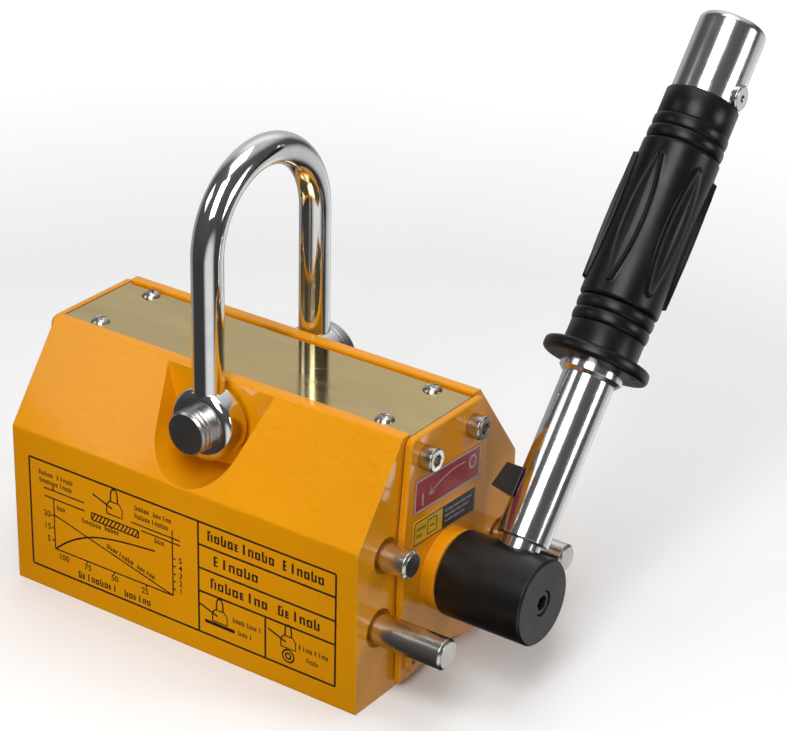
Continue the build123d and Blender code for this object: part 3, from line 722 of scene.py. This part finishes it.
# ------------------------------------------------------------------ sub-assemblies
@dataclass
class MagnetBlock:
    """Painted block, end covers, top plate, screws, pins, and everything sealed inside."""

    paint: Enamel = Enamel("yellow_enamel", (0.83, 0.335, 0.0015), (0.77, 0.285, 0.001), (0.90, 0.48, 0.04))
    cover_paint: Enamel = Enamel("yellow_enamel_cover", (0.79, 0.31, 0.0015), (0.72, 0.26, 0.001),
                                 (0.88, 0.48, 0.06), lump_depth=0.0001)
    plate: PolishedPlate = PolishedPlate("polished_top_plate", (0.73, 0.57, 0.27))
    pin_chrome: Chrome = Chrome("pin_chrome", (0.74, 0.71, 0.66), 0.2, 0.3, (2400.0, 60.0, 60.0))
    screw_plate: Chrome = Chrome("screw_plating", (0.56, 0.54, 0.49), 0.2, 0.34)

    def dress(self, rotor_z: float) -> None:
        """Give every node of the block its finish.

        Args:
            rotor_z: Height of the rotor's axis, in metres.
        """
        axis = (0.0, 0.0, rotor_z)
        bronze = TurnedSteel("bearing_bronze", (0.62, 0.40, 0.18), axis, X_AXIS_TURN, 0.28)
        stainless = Chrome("milled_stainless", (0.55, 0.55, 0.54), 0.26, 0.4, (40.0, 1800.0, 1800.0))
        nickel = Chrome("nickelled_magnet", (0.56, 0.55, 0.52), 0.2, 0.34)
        fibre = MouldedRubber("gasket_fibre", (0.03, 0.03, 0.03), 0.6)
        wear(self.paint.make(), "front_pole_block", "rear_pole_block")
        wear(self.cover_paint.make(), "drive_end_cover", "closed_end_cover", "drive_foot_screws")
        wear(self.plate.make(), "top_plate")
        wear(self.screw_plate.make(), "top_plate_screws", "drive_cover_screws", "closed_cover_screws")
        wear(self.pin_chrome.make(), "on_stop_pin", "off_stop_pin", "latch_pin")
        wear(bronze.make(), "drive_bearing_bush", "closed_bearing_bush", "drive_thrust_washer",
             "closed_thrust_washer")
        wear(stainless.make(), "lower_spacer", "upper_spacer")
        wear(nickel.make(), "stator_magnets")
        wear(fibre.make(), "drive_end_gasket", "closed_end_gasket", "shaft_seal")


@dataclass
class FrontPanel:
    """The data panel printed on the long front side: frame, chart, pictures and rows of print.

    Places are (x, z) in millimetres on that side.
    """

    line: float = 0.8
    fine: float = 0.56
    thick: float = 0.06
    big: float = 3.9
    middle: float = 2.7
    small: float = 1.9
    number: float = 3.3
    left: float = -67.8
    right: float = 66.4
    low: float = 8.0
    high: float = 51.2
    divider: float = 8.5
    rows: tuple[float, ...] = (42.4, 33.3, 24.2)
    cell: float = 37.2
    hatches: int = 13
    ink: Ink = Ink("panel_ink", (0.016, 0.012, 0.006), (0.06, 0.03, 0.008))

    def frames(self) -> list[Stroke]:
        """Outline, divider and row lines."""
        lines = [[(self.left, self.low), (self.right, self.low)],
                 [(self.left, self.high), (self.right, self.high)],
                 [(self.left, self.low), (self.left, self.high)],
                 [(self.right, self.low), (self.right, self.high)],
                 [(self.divider, self.low), (self.divider, self.high)],
                 [(self.cell, self.low), (self.cell, self.rows[2])]]
        lines += [[(self.divider, row), (self.right, row)] for row in self.rows]
        return [(self.line, line) for line in lines]

    def chart(self) -> list[Stroke]:
        """Axes, ticks and dimension lines of the chart."""
        lines = [[(-56.9, 37.6), (-56.9, 17.4)], [(-56.9, 17.4), (-2.9, 17.8)], [(-2.9, 17.8), (-2.9, 41.2)],
                 [(-61.2, 40.8), (-42.6, 40.8)], [(-61.2, 37.6), (-42.5, 37.6)],
                 [(-57.0, 43.0), (-57.0, 40.8)],
                 [(-21.2, 40.5), (0.5, 40.5)], [(-16.8, 38.7), (0.5, 38.7)], [(-2.9, 43.5), (-2.9, 41.4)],
                 [(-56.7, 31.1), (-3.2, 17.9)]]
        lines += [[(-56.9, z), (-58.2, z)] for z in (30.6, 25.6, 20.6)]
        lines += [[(-2.9, z), (-1.6, z)] for z in (32.6, 29.6, 26.6, 23.6, 20.6)]
        lines += [[(x, 17.5), (x, 16.5)] for x in (-42.0, -29.5, -15.0)]
        return [(self.fine, line) for line in lines]

    def rise(self) -> list[Stroke]:
        """The rising curve of the chart."""
        points = [(-56.7, 17.4), (-53.0, 21.0), (-44.5, 26.6), (-33.8, 30.0), (-22.2, 31.6), (-10.8, 32.6)]
        return [(self.fine * 1.2, points)]

    def pictures(self) -> tuple[list[Stroke], list[Stroke]]:
        """Small side views of a lifter: their straight strokes and their shackles' curved ones."""
        straight, curved = [], []
        for x, z, size in ((-32.2, 40.3, 7.0), (14.4, 14.3, 6.4), (43.8, 15.4, 6.2)):
            block = ((0.0, 0.0), (0.0, 0.5), (0.2, 0.75), (0.8, 0.75), (1.0, 0.5), (1.0, 0.0), (0.0, 0.0))
            handle = ((-0.9, 0.78), (0.35, 0.36))
            loop = ((0.28, 0.75), (0.28, 1.05), (0.28, 1.5), (0.72, 1.5), (0.72, 1.05), (0.72, 0.75))
            for width, points, strokes in ((1.0, block, straight), (1.3, handle, straight),
                                           (1.2, loop, curved)):
                strokes.append((self.fine * width, [(x + size * across, z + size * up) for across,
                                                    up in points]))
        return straight, curved

    def loads(self) -> list[Stroke]:
        """The hatched plate under the chart's picture and the round bar in the last one."""
        left, right, low, high = -39.3, -18.0, 35.3, 38.1
        lines = [[(left, low), (right, low)], [(right, low), (right, high)], [(right, high), (left, high)],
                 [(left, high), (left, low)]]
        step = (right - left) / self.hatches
        lines += [[(left + i * step, low), (left + (i + 1) * step, high)] for i in range(self.hatches)]
        rings = [(self.fine * 1.2, arc_points((46.9, 12.4), (radius, radius), 16)) for radius in (2.4, 1.1)]
        return [(self.fine, line) for line in lines] + rings

    def build(self) -> None:
        """Build the print as thin ink on the paint."""
        low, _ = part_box("front_pole_block")
        ink = Print(self.thick)
        straight, curved = self.pictures()
        ink.strokes(self.frames() + self.chart() + straight + self.loads())
        ink.strokes(self.rise() + curved, smooth=True)
        ink.block((17.6, 13.2), (13.0, 1.3))
        self.print_rows(ink)
        place = Matrix.Translation((0.0, low.y, 0.0)) @ Matrix.Rotation(math.pi / 2, 4,
                                                                        "X") @ Matrix.Scale(MM, 4)
        place_mesh("front_panel_print", ink.bm, place, self.ink.make(), Body.BLOCK.value)

    def print_rows(self, ink: Print) -> None:
        """Add the runs of blocks that stand for print.

        Args:
            ink: The panel's print.
        """
        big = ((12.6, 47.0, 29.0), (44.6, 47.0, 17.6), (15.2, 38.0, 19.6), (13.8, 28.9, 25.0),
               (42.6, 28.9, 18.0))
        middle = ((-46.3, 10.9, 18.0), (-25.0, 10.9, 12.2))
        small = ((-63.2, 46.6, 7.0), (-55.0, 46.6, 7.6), (-63.2, 43.6, 15.2), (-19.4, 46.9, 7.0),
                 (-11.2, 46.9, 8.2),
                 (-19.5, 43.7, 15.0), (-43.8, 33.6, 9.4), (-33.4, 34.0, 7.0), (23.2, 17.8, 5.4),
                 (29.4, 17.8, 6.4),
                 (25.6, 13.5, 6.2), (51.4, 17.6, 5.8), (58.0, 17.6, 5.8), (54.6, 13.6, 5.0),
                 (-55.4, 34.6, 4.4),
                 (-10.8, 37.0, 4.6))
        for height, words in ((self.big, big), (self.middle, middle), (self.small, small)):
            for x, z, length in words:
                ink.word((x, z), length, height)
        scale = [("20", (-60.2, 30.6)), ("15", (-60.2, 25.6)), ("5", (-59.8, 20.6)), ("100", (-53.0, 14.9)),
                 ("75", (-41.8, 14.9)), ("50", (-29.4, 14.9)), ("25", (-15.6, 14.9))]
        scale += [(str(5 - index), (0.6, 32.6 - 3 * index)) for index in range(5)]
        for text, place in scale:
            ink.number(text, place, self.number)
        slope = math.atan2(17.9 - 31.1, 53.5)
        run = Print(self.thick)
        for x, length in ((0.0, 12.6), (14.2, 8.2)):
            run.word((x, 0.0), length, self.small)
        bmesh.ops.transform(run.bm, matrix=Matrix.Translation((-32.6, 27.2, 0.0)) @ Matrix.Rotation(slope, 4,
                                                                                                    "Z"),
                            verts=run.bm.verts)
        carry = bpy.data.meshes.new("run")
        run.bm.to_mesh(carry)
        run.bm.free()
        ink.bm.from_mesh(carry)
        bpy.data.meshes.remove(carry)


@dataclass
class EndLabels:
    """The stickers on the handle end: a red position label and a two-part notice."""

    tilt_deg: float = -2.5
    thick: float = 0.05
    red: PrintedFilm = PrintedFilm("red_label_film", (0.36, 0.012, 0.016))
    yellow: PrintedFilm = PrintedFilm("yellow_label_film", (0.74, 0.42, 0.015))
    grey: Ink = Ink("label_grey_ink", (0.42, 0.38, 0.38), (0.5, 0.2, 0.2))
    black: Ink = Ink("label_black_ink", (0.012, 0.012, 0.013), (0.04, 0.035, 0.02))
    pale: Ink = Ink("label_pale_ink", (0.45, 0.43, 0.42), (0.2, 0.2, 0.2))

    def place(self, node: str) -> Matrix:
        """Matrix from a label's own millimetres (Y across, Z up) to the row frame.

        Args:
            node: The label's CAD node.

        Returns:
            The matrix.
        """
        low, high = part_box(node)
        centre = Vector((high.x, (low.y + high.y) / 2, (low.z + high.z) / 2))
        flat = Matrix(((0, 0, 1, 0), (1, 0, 0, 0), (0, 1, 0, 0), (0, 0, 0, 1)))
        tilt = Matrix.Rotation(math.radians(self.tilt_deg), 4, "X")
        return Matrix.Translation(centre) @ tilt @ flat @ Matrix.Scale(MM, 4)

    def rim(self, width: float, height: float, line: float) -> list[Stroke]:
        """A rectangle of lines.

        Args:
            width: Outer width.
            height: Outer height.
            line: Line width.

        Returns:
            The strokes.
        """
        x, y = (width - line) / 2, (height - line) / 2
        sides = [[(-x, -y), (x, -y)], [(-x, y), (x, y)], [(-x, -y), (-x, y)], [(x, -y), (x, y)]]
        return [(line, side) for side in sides]

    def build(self) -> None:
        """Dress both labels and add their print."""
        wear(self.red.make(), "position_label")
        wear(self.yellow.make(), "notice_label")
        grey = Print(self.thick)
        grey.strokes(self.rim(38.8, 12.2, 0.75))
        arc = [(-11.0, -1.6), (-4.0, 2.0), (4.0, 3.6), (10.0, 2.6)]
        grey.strokes([(0.5, arc)], smooth=True)
        grey.strokes([(0.5, [(-11.0, -1.6), (-7.9, -1.5)]), (0.5, [(-11.0, -1.6), (-9.6, 0.9)])])
        grey.strokes([(0.9, [(-14.6, -4.2), (-14.6, 0.2)])])
        grey.strokes([(0.8, arc_points((14.6, 1.2), (1.9, 2.2), 20))])
        place_mesh("position_label_print", grey.bm, self.place("position_label"), self.grey.make(),
                   Body.BLOCK.value)
        dark = Print(self.thick)
        dark.strokes(self.rim(36.0, 8.8, 0.5))
        dark.block((8.2, 0.0), (19.2, 8.4))
        dark.strokes(self.emblem(-7.4, 0.0, 2.6))
        for y, length in ((1.4, 5.4), (-1.2, 3.4)):
            dark.word((-16.4, y), length, 1.3)
        place_mesh("notice_label_print", dark.bm, self.place("notice_label"), self.black.make(),
                   Body.BLOCK.value)
        light = Print(self.thick * 1.6)
        for y, start, length in ((2.2, 0.2, 16.0), (0.2, 0.2, 14.6), (-1.8, 0.2, 12.0)):
            light.word((start, y), length, 0.8)
        place_mesh("notice_label_lines", light.bm, self.place("notice_label"), self.pale.make(),
                   Body.BLOCK.value)

    def emblem(self, x: float, y: float, size: float) -> list[Stroke]:
        """A plain open square with a bar in it, as a generic mark.

        Args:
            x: Middle, across.
            y: Middle, up.
            size: Half width.

        Returns:
            The strokes.
        """
        corners = [(x - size, y - size), (x + size, y - size), (x + size, y + size), (x - size, y + size),
                   (x - size, y - size)]
        sides = [(0.45, [corners[i], corners[i + 1]]) for i in range(4)]
        return sides + [(0.6, [(x - size * 0.5, y), (x + size * 0.5, y)])]


@dataclass
class RotorAndHandle:
    """Rotor, hub, handle tube and return spring.

    The rotor's height is in metres and the spring's sizes are in millimetres.
    """

    handle: HandleFrame
    rotor_z: float
    spring_low: float = 100.8
    spring_high: float = 137.2
    spring_radius: float = 4.8
    spring_wire: float = 0.7
    spring_turns: int = 9
    turn_steps: int = 28
    travel: float = 12.0
    hub: PowderCoat = PowderCoat("hub_black", (0.0045, 0.0038, 0.0035), (0.045, 0.04, 0.036), gloss=0.3)

    def dress(self) -> None:
        """Give the rotor's and the handle's nodes their finishes."""
        axis, handle = (0.0, 0.0, self.rotor_z), self.handle
        iron = TurnedSteel("rotor_iron", (0.36, 0.35, 0.34), axis, X_AXIS_TURN, 0.3)
        black = PowderCoat("black_oxide", (0.012, 0.012, 0.013), (0.12, 0.11, 0.10), 1800.0, 0.00002, 0.28)
        drawn = TurnedSteel("drawn_steel", (0.46, 0.45, 0.44), tuple(handle.matrix.translation), handle.turn,
                            0.28)
        tube = Chrome("tube_chrome", (0.80, 0.80, 0.81), 0.12, 0.2, (2600.0, 2600.0, 160.0), handle.turn)
        wear(iron.make(), "front_rotor_cheek", "rear_rotor_cheek", "drive_journal", "closed_journal",
             "rotor_filler_strips")
        wear(Chrome("rotor_magnet_nickel", (0.56, 0.55, 0.52), 0.2, 0.34).make(), "rotor_magnets")
        wear(black.make(), "rotor_screws", "hub_key", "hub_screw", "spring_collar", "latch_tongue")
        wear(self.hub.make(), "handle_hub")
        wear(tube.make(), "handle_tube")
        steel = drawn.make()
        wear(steel, "tube_guide", "latch_rod")
        self.spring(steel)

    def spring(self, material: Material) -> None:
        """Build the return spring as a fixed coil round the handle, in place of the CAD spring.

        Args:
            material: The spring's material.
        """
        handle = self.handle
        bm = bmesh.new()
        ring = bmesh.ops.create_circle(bm, segments=10, radius=self.spring_wire,
                                       matrix=Matrix.Translation((self.spring_radius, 0.0, self.spring_low))
                                       @ Matrix.Rotation(math.pi / 2, 4, "X"))["verts"]
        edges = list(bm.edges)
        steps = self.spring_turns * self.turn_steps
        rise = (self.spring_high - self.spring_low) / steps
        bmesh.ops.spin(bm, geom=ring + edges, cent=(0, 0, 0), axis=(0, 0, 1), dvec=(0, 0, rise),
                       angle=math.tau * self.spring_turns, steps=steps, use_merge=False, use_duplicate=False)
        bmesh.ops.holes_fill(bm, edges=bm.edges, sides=12)
        piece = place_mesh("return_spring", bm, handle.matrix, material, Body.ROTOR.value)
        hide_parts("latch_spring")
        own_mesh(piece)


@dataclass
class SlidingGrip:
    """Chrome sleeve and cap with the moulded rubber grip over them. Stations run along the handle, in mm."""

    handle: HandleFrame
    bore: float = 11.22
    flange: Triple = (81.0, 85.6, 19.0)
    flange_round: float = 1.7
    collar: float = 13.2
    valley: float = 12.75
    low_rings: Pair = (93.9, 102.9)
    high_rings: Pair = (162.0, 171.0)
    low_peaks: tuple[float, ...] = (13.75, 13.85)
    high_peaks: tuple[float, ...] = (13.8, 13.6)
    barrel: Pair = (103.2, 161.6)
    barrel_radius: Pair = (14.2, 13.95)
    barrel_round: float = 1.1
    top: float = 181.0
    pods: int = 6
    pod_first_deg: float = 30.0
    pod_middle: float = 131.8
    pod_half_length: float = 22.2
    pod_half_width: float = 4.4
    pod_end_width: float = 1.75
    least_half: float = 0.8
    pod_ramp: float = 0.6
    pod_groove: float = 0.4
    pod_radius: Pair = (15.45, 15.88)
    pod_rim: float = 0.85
    pod_sink: float = 0.4
    steps: int = 312
    rows: int = 136
    ring_steps: int = 12
    mesh_shares: tuple[float, ...] = (0.0, 0.34, 0.5, 0.68, 1.0)
    hole_radius: float = 1.15
    hole_place: float = 15.4
    rubber: MouldedRubber = MouldedRubber("grip_rubber", (0.005, 0.005, 0.0055), 0.27)

    def rings(self, span: Pair, peaks: tuple[float, ...]) -> list[Pair]:
        """Outline of a run of rounded rings.

        Args:
            span: First and last station.
            peaks: Radius at the top of each ring.

        Returns:
            (radius, station) points.
        """
        pitch = (span[1] - span[0]) / len(peaks)
        points = []
        for index, peak in enumerate(peaks):
            for step in range(self.ring_steps):
                swing = math.pi * (step / self.ring_steps)
                station = span[0] + (index + (1 - math.cos(swing)) / 2) * pitch
                points.append((self.valley + (peak - self.valley) * math.sin(swing) ** 0.8, station))
        return points

    def outline(self) -> list[Pair]:
        """Closed outline of the grip's wall.

        Returns:
            (radius, station) points.
        """
        low, high, wide = self.flange
        rounding = self.flange_round
        points = [(self.bore, low), (self.collar, low), (wide - rounding, low)]
        for centre, start in ((low + rounding, -90.0), (high - rounding, 0.0)):
            for step in range(1, 7):
                angle = math.radians(start + 15.0 * step)
                points.append((wide - rounding + rounding * math.cos(angle),
                               centre + rounding * math.sin(angle)))
        points += [(self.collar + 0.5, high), (self.collar + 0.1, high + 0.25), (self.collar, high + 0.7),
                   (self.collar, self.low_rings[0] - 0.5), (self.collar - 0.25, self.low_rings[0] - 0.1)]
        points += self.rings(self.low_rings, self.low_peaks)
        points.append((self.valley, self.low_rings[1]))
        points += self.barrel_points()
        points += self.rings(self.high_rings, self.high_peaks)
        points += [(self.collar - 0.25, self.high_rings[1]), (self.collar, self.high_rings[1] + 0.5),
                   (self.collar, self.top - 0.5), (self.collar - 0.4, self.top), (self.bore, self.top)]
        return points

    def barrel_points(self) -> list[Pair]:
        """Outline of the barrel, close together along its length."""
        low, high = self.barrel
        rounding = self.barrel_round
        wide, narrow = self.barrel_radius
        points = []
        for step in range(0, 6):
            angle = math.radians(-90.0 + 18.0 * step)
            points.append((wide - rounding + rounding * math.cos(angle),
                           low + rounding + rounding * math.sin(angle)))
        start, end = low + rounding, high - rounding
        for row in range(self.rows + 1):
            share = row / self.rows
            points.append((wide + (narrow - wide) * share, start + (end - start) * share))
        for step in range(1, 6):
            angle = math.radians(18.0 * step)
            points.append((narrow - rounding + rounding * math.cos(angle), end + rounding * math.sin(angle)))
        return points

    def pod_half(self, station: float) -> float:
        """Half width of a pod at a station, nothing beyond its rounded ends.

        Args:
            station: Place along the handle.

        Returns:
            The half width, in millimetres.
        """
        along = abs(station - self.pod_middle) / self.pod_half_length
        if along <= 1.0:
            return self.pod_end_width + (self.pod_half_width - self.pod_end_width) * (1.0 - along * along)
        beyond = (along - 1.0) * self.pod_half_length
        return math.sqrt(max(0.0, self.pod_end_width ** 2 - beyond ** 2))

    def pod_point(self, angle: float, station: float, base: float) -> Pair:
        """Where a point of the even barrel goes, so that the mesh follows the outline of the nearest pod.

        Args:
            angle: Even bearing round the handle, in radians.
            station: Place along the handle.
            base: Radius of the barrel there.

        Returns:
            The bearing and the radius.
        """
        half_pitch = math.pi / self.pods
        turn = (angle - math.radians(self.pod_first_deg) + half_pitch) % (2 * half_pitch) - half_pitch
        half = max(self.pod_half(station), self.least_half)
        ends, middle = self.pod_radius
        groove = half - self.pod_rim - self.pod_groove
        stops = (0.0, max(groove, 0.3 * half), max(half - self.pod_ramp, 0.6 * half), half,
                 half_pitch * middle)
        share = abs(turn) / half_pitch
        spans = zip(self.mesh_shares, self.mesh_shares[1:], stops, stops[1:])
        low, high, near, far = next(span for span in spans if share <= span[1] + 1e-9)
        across = near + (far - near) * (share - low) / (high - low)
        along = abs(station - self.pod_middle) / self.pod_half_length
        if along <= 1.0:
            inside = self.pod_half(station) - across
        else:
            inside = self.pod_end_width - math.hypot(across, (along - 1.0) * self.pod_half_length)
        rim = smooth_step(inside, 0.0, self.pod_ramp)
        sink = smooth_step(inside, self.pod_rim, self.pod_rim + self.pod_groove)
        bulge = smooth_step(inside, self.pod_rim + self.pod_groove, self.pod_half_width)
        crown = ends + (middle - ends) * max(0.0, 1.0 - along * along)
        reach = base + (crown - base - self.pod_sink * (sink - bulge)) * rim
        return angle - turn + math.copysign(across / middle, turn), reach

    def build(self) -> None:
        """Build the rubber grip and dress the sleeve and cap."""
        bm = lathe(self.outline(), self.steps)
        low, high = self.barrel
        for vert in bm.verts:
            radius = math.hypot(vert.co.x, vert.co.y)
            if low + 0.5 < vert.co.z < high - 0.5 and radius > self.bore + 1.0:
                bearing, reach = self.pod_point(math.atan2(vert.co.y, vert.co.x), vert.co.z, radius)
                vert.co.x = reach * math.cos(bearing)
                vert.co.y = reach * math.sin(bearing)
        grip = place_mesh("moulded_grip", bm, self.handle.matrix, self.rubber.make(), Body.GRIP.value,
                          50.0)
        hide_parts("rubber_grip")
        self.drill(grip)
        chrome = Chrome("sleeve_chrome", (0.80, 0.80, 0.81), 0.14, 0.22, (2600.0, 2600.0, 160.0),
                        self.handle.turn)
        wear(chrome.make(), "grip_sleeve", "sleeve_cap", "cap_screw")

    def drill(self, grip: bpy.types.Object) -> None:
        """Cut the small hole through the flange.

        Args:
            grip: The grip piece.
        """
        bm = bmesh.new()
        place = Matrix.Translation((self.hole_place, 0.0, self.flange[0] + 1.0))
        bmesh.ops.create_cone(bm, cap_ends=True, segments=24, radius1=self.hole_radius,
                              radius2=self.hole_radius,
                              depth=8.0, matrix=place)
        bmesh.ops.transform(bm, matrix=self.handle.matrix, verts=bm.verts)
        mesh = bpy.data.meshes.new("drill")
        bm.to_mesh(mesh)
        bm.free()
        tool = bpy.data.objects.new("drill", mesh)
        bpy.context.scene.collection.objects.link(tool)
        cut = grip.modifiers.new("hole", "BOOLEAN")
        cut.operation = "DIFFERENCE"
        cut.object = tool
        cut.solver = "EXACT"
        bpy.context.view_layer.update()
        evaluated = grip.evaluated_get(bpy.context.evaluated_depsgraph_get())
        drilled = bpy.data.meshes.new_from_object(evaluated)
        grip.modifiers.clear()
        grip.data = drilled
        bpy.data.objects.remove(tool)


@dataclass
class Shackle:
    """The bow and its pin."""

    bow: Chrome = Chrome("shackle_chrome", (0.80, 0.80, 0.80), 0.05, 0.14, (140.0, 140.0, 60.0))

    def dress(self, pin_z: float) -> None:
        """Give the bow and the pin their finishes.

        Args:
            pin_z: Height of the pin's axis, in metres.
        """
        wear(self.bow.make(), "shackle_bow")
        pin = TurnedSteel("shackle_pin_steel", (0.50, 0.49, 0.48), (0.0, 0.0, pin_z), Y_AXIS_TURN, 0.24, 0.2,
                          1500.0,
                          0.00004)
        wear(pin.make(), "shackle_pin")


def smooth_step(value: float, low: float, high: float) -> float:
    """Ease from 0 at low to 1 at high."""
    t = min(1.0, max(0.0, (value - low) / (high - low)))
    return t * t * (3.0 - 2.0 * t)


def wear(material: Material, *nodes: str) -> None:
    """Give CAD nodes a material.

    Args:
        material: The material.
        *nodes: Names of the nodes.
    """
    for node in nodes:
        mesh = frame["nodes"][node].data
        if not mesh.materials:
            mesh.materials.append(material)
        for index in range(len(mesh.materials)):
            mesh.materials[index] = material
        LOG.info("node %s wears %s", node, material.name)


# ------------------------------------------------------------------ studio
@dataclass(frozen=True)
class Softbox:
    """A rectangular studio light."""

    name: str
    place: Triple
    size: Pair
    power: float
    aim: Triple = (0.05, 0.0, 0.1)
    mirrored: bool = True
    lights_matt: bool = True
    cone_deg: float = 0.0


@dataclass(frozen=True)
class Glow:
    """A soft bright patch of the surroundings."""

    toward: Triple
    core_deg: float
    reach_deg: float
    level: float


@dataclass
class Studio:
    """Floor, lights and camera."""

    target: Triple = (0.0549, 0.0, 0.1054)
    azimuth_deg: float = 34.8
    elevation_deg: float = 26.2
    roll_deg: float = 1.3
    distance: float = 0.8758
    lens: float = 120.9
    sensor: float = 36.0
    floor_half: float = 6.0
    floor_colour: RGB = (0.95, 0.95, 0.95)
    lights: tuple[Softbox, ...] = (
        Softbox("key_softbox", (0.36, -0.75, 1.0), (0.6, 0.9), 10.5),
        Softbox("left_softbox", (-1.0, -0.76, 1.0), (0.6, 0.5), 1.8),
        Softbox("right_softbox", (1.2, 0.32, 0.30), (0.5, 0.42), 3.2, lights_matt=False),
        Softbox("top_softbox", (0.1, 0.1, 1.5), (0.9, 0.9), 5.0),
        Softbox("end_fill", (1.0, 0.45, 0.75), (0.3, 0.3), 2.5, mirrored=False),
        Softbox("front_spot", (0.2, -1.35, 0.16), (0.1, 0.1), 17.0, (-0.015, -0.0465, 0.055), False, True,
                11.0),
    )
    glows: tuple[Glow, ...] = (
        Glow((-0.512, 0.737, 0.4415), 20.0, 46.0, 0.5),
        Glow((0.69, -0.578, -0.44), 12.0, 36.0, 0.8),
        Glow((-0.85, 0.3, -0.3), 10.0, 40.0, 0.3),
        Glow((-0.2, 0.83, -0.52), 10.0, 36.0, 0.45),
        Glow((0.4, 0.8, -0.44), 12.0, 34.0, 0.6),
        Glow((0.0, 0.5, 0.87), 15.0, 45.0, 0.5),
    )
    sky: Pair = (0.02, 0.12)

    def axes(self) -> tuple[Vector, Vector, Vector]:
        """The camera's right, up and backward directions."""
        azimuth, elevation, roll = (math.radians(a) for a in (self.azimuth_deg, self.elevation_deg,
                                                              self.roll_deg))
        back = Vector((math.sin(azimuth) * math.cos(elevation), -math.cos(azimuth) * math.cos(elevation),
                       math.sin(elevation)))
        right = Vector((math.cos(azimuth), math.sin(azimuth), 0.0))
        up = back.cross(right)
        return (right * math.cos(roll) + up * math.sin(roll), up * math.cos(roll) - right * math.sin(roll),
                back)

    def camera(self) -> None:
        """Place the camera."""
        right, up, back = self.axes()
        data = bpy.data.cameras.new("camera")
        data.lens = self.lens
        data.sensor_width = self.sensor
        data.clip_start, data.clip_end = 0.05, 50.0
        holder = bpy.data.objects.new("camera", data)
        holder.matrix_world = Matrix.Translation(Vector(self.target) + back * self.distance) @ Matrix(
            (right, up, back)).transposed().to_4x4()
        bpy.context.scene.collection.objects.link(holder)
        bpy.context.scene.camera = holder

    def floor(self) -> None:
        """Lay the pale floor."""
        bm = bmesh.new()
        bmesh.ops.create_grid(bm, x_segments=4, y_segments=4, size=self.floor_half)
        mesh = bpy.data.meshes.new("floor")
        bm.to_mesh(mesh)
        bm.free()
        mesh.materials.append(StudioPaper("studio_paper", self.floor_colour).make())
        floor = bpy.data.objects.new("floor", mesh)
        floor.visible_glossy = False
        floor.visible_diffuse = False
        floor.visible_shadow = False
        bpy.context.scene.collection.objects.link(floor)

    def light(self) -> None:
        """Set up the soft lights."""
        for box in self.lights:
            if box.cone_deg:
                data = bpy.data.lights.new(box.name, "SPOT")
                data.spot_size = math.radians(box.cone_deg)
                data.spot_blend = 1.0
                data.shadow_soft_size = box.size[0] / 2
            else:
                data = bpy.data.lights.new(box.name, "AREA")
                data.shape = "RECTANGLE"
                data.size, data.size_y = box.size
            data.energy = box.power
            lamp = bpy.data.objects.new(box.name, data)
            lamp.visible_glossy = box.mirrored
            lamp.visible_diffuse = box.lights_matt
            place = Vector(box.place)
            facing = (place - Vector(box.aim)).to_track_quat("Z", "Y").to_matrix().to_4x4()
            lamp.matrix_world = Matrix.Translation(place) @ facing
            bpy.context.scene.collection.objects.link(lamp)

    def surroundings(self) -> None:
        """Set up the dark surroundings with their soft bright patches."""
        world = bpy.data.worlds.new("surroundings")
        world.use_nodes = True
        nodes = Nodes(world.node_tree)
        direction = nodes.put("ShaderNodeTexCoord").outputs["Generated"]
        height = nodes.put("ShaderNodeSeparateXYZ", {0: direction}).outputs["Z"]
        total = nodes.band(height, -1.0, 1.0, *self.sky)
        for glow in self.glows:
            toward = {1: Vector(glow.toward).normalized()}
            dot = nodes.put("ShaderNodeVectorMath", {0: direction}, toward, operation="DOT_PRODUCT")
            values = {"From Min": math.cos(math.radians(glow.reach_deg)),
                      "From Max": math.cos(math.radians(glow.core_deg)), "To Max": glow.level}
            fade = nodes.put("ShaderNodeMapRange", {"Value": dot.outputs["Value"]}, values,
                             interpolation_type="SMOOTHSTEP")
            total = nodes.calc("ADD", total, fade.outputs["Result"])
        back = nodes.put("ShaderNodeBackground", {"Color": total})
        nodes.put("ShaderNodeOutputWorld", {"Surface": back.outputs[0]})
        bpy.context.scene.world = world

    def build(self) -> None:
        """Build the whole studio."""
        self.camera()
        self.floor()
        self.light()
        self.surroundings()
        view = bpy.context.scene.view_settings
        view.view_transform = "Standard"
        view.look = "None"


def main() -> None:
    """Build and dress the lifter."""
    logging.basicConfig(level=logging.INFO, format="%(name)s: %(message)s")
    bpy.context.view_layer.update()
    joints = {joint["name"]: joint for joint in frame["joints"]}
    rotor_z = joints["handle_turn"]["pos_m"][2]
    pin_z = joints["shackle_swing"]["pos_m"][2]
    handle = HandleFrame.from_record()
    Studio().build()
    MagnetBlock().dress(rotor_z)
    FrontPanel().build()
    EndLabels().build()
    RotorAndHandle(handle, rotor_z).dress()
    SlidingGrip(handle).build()
    Shackle().dress(pin_z)


if __name__ == "__main__":
    main()
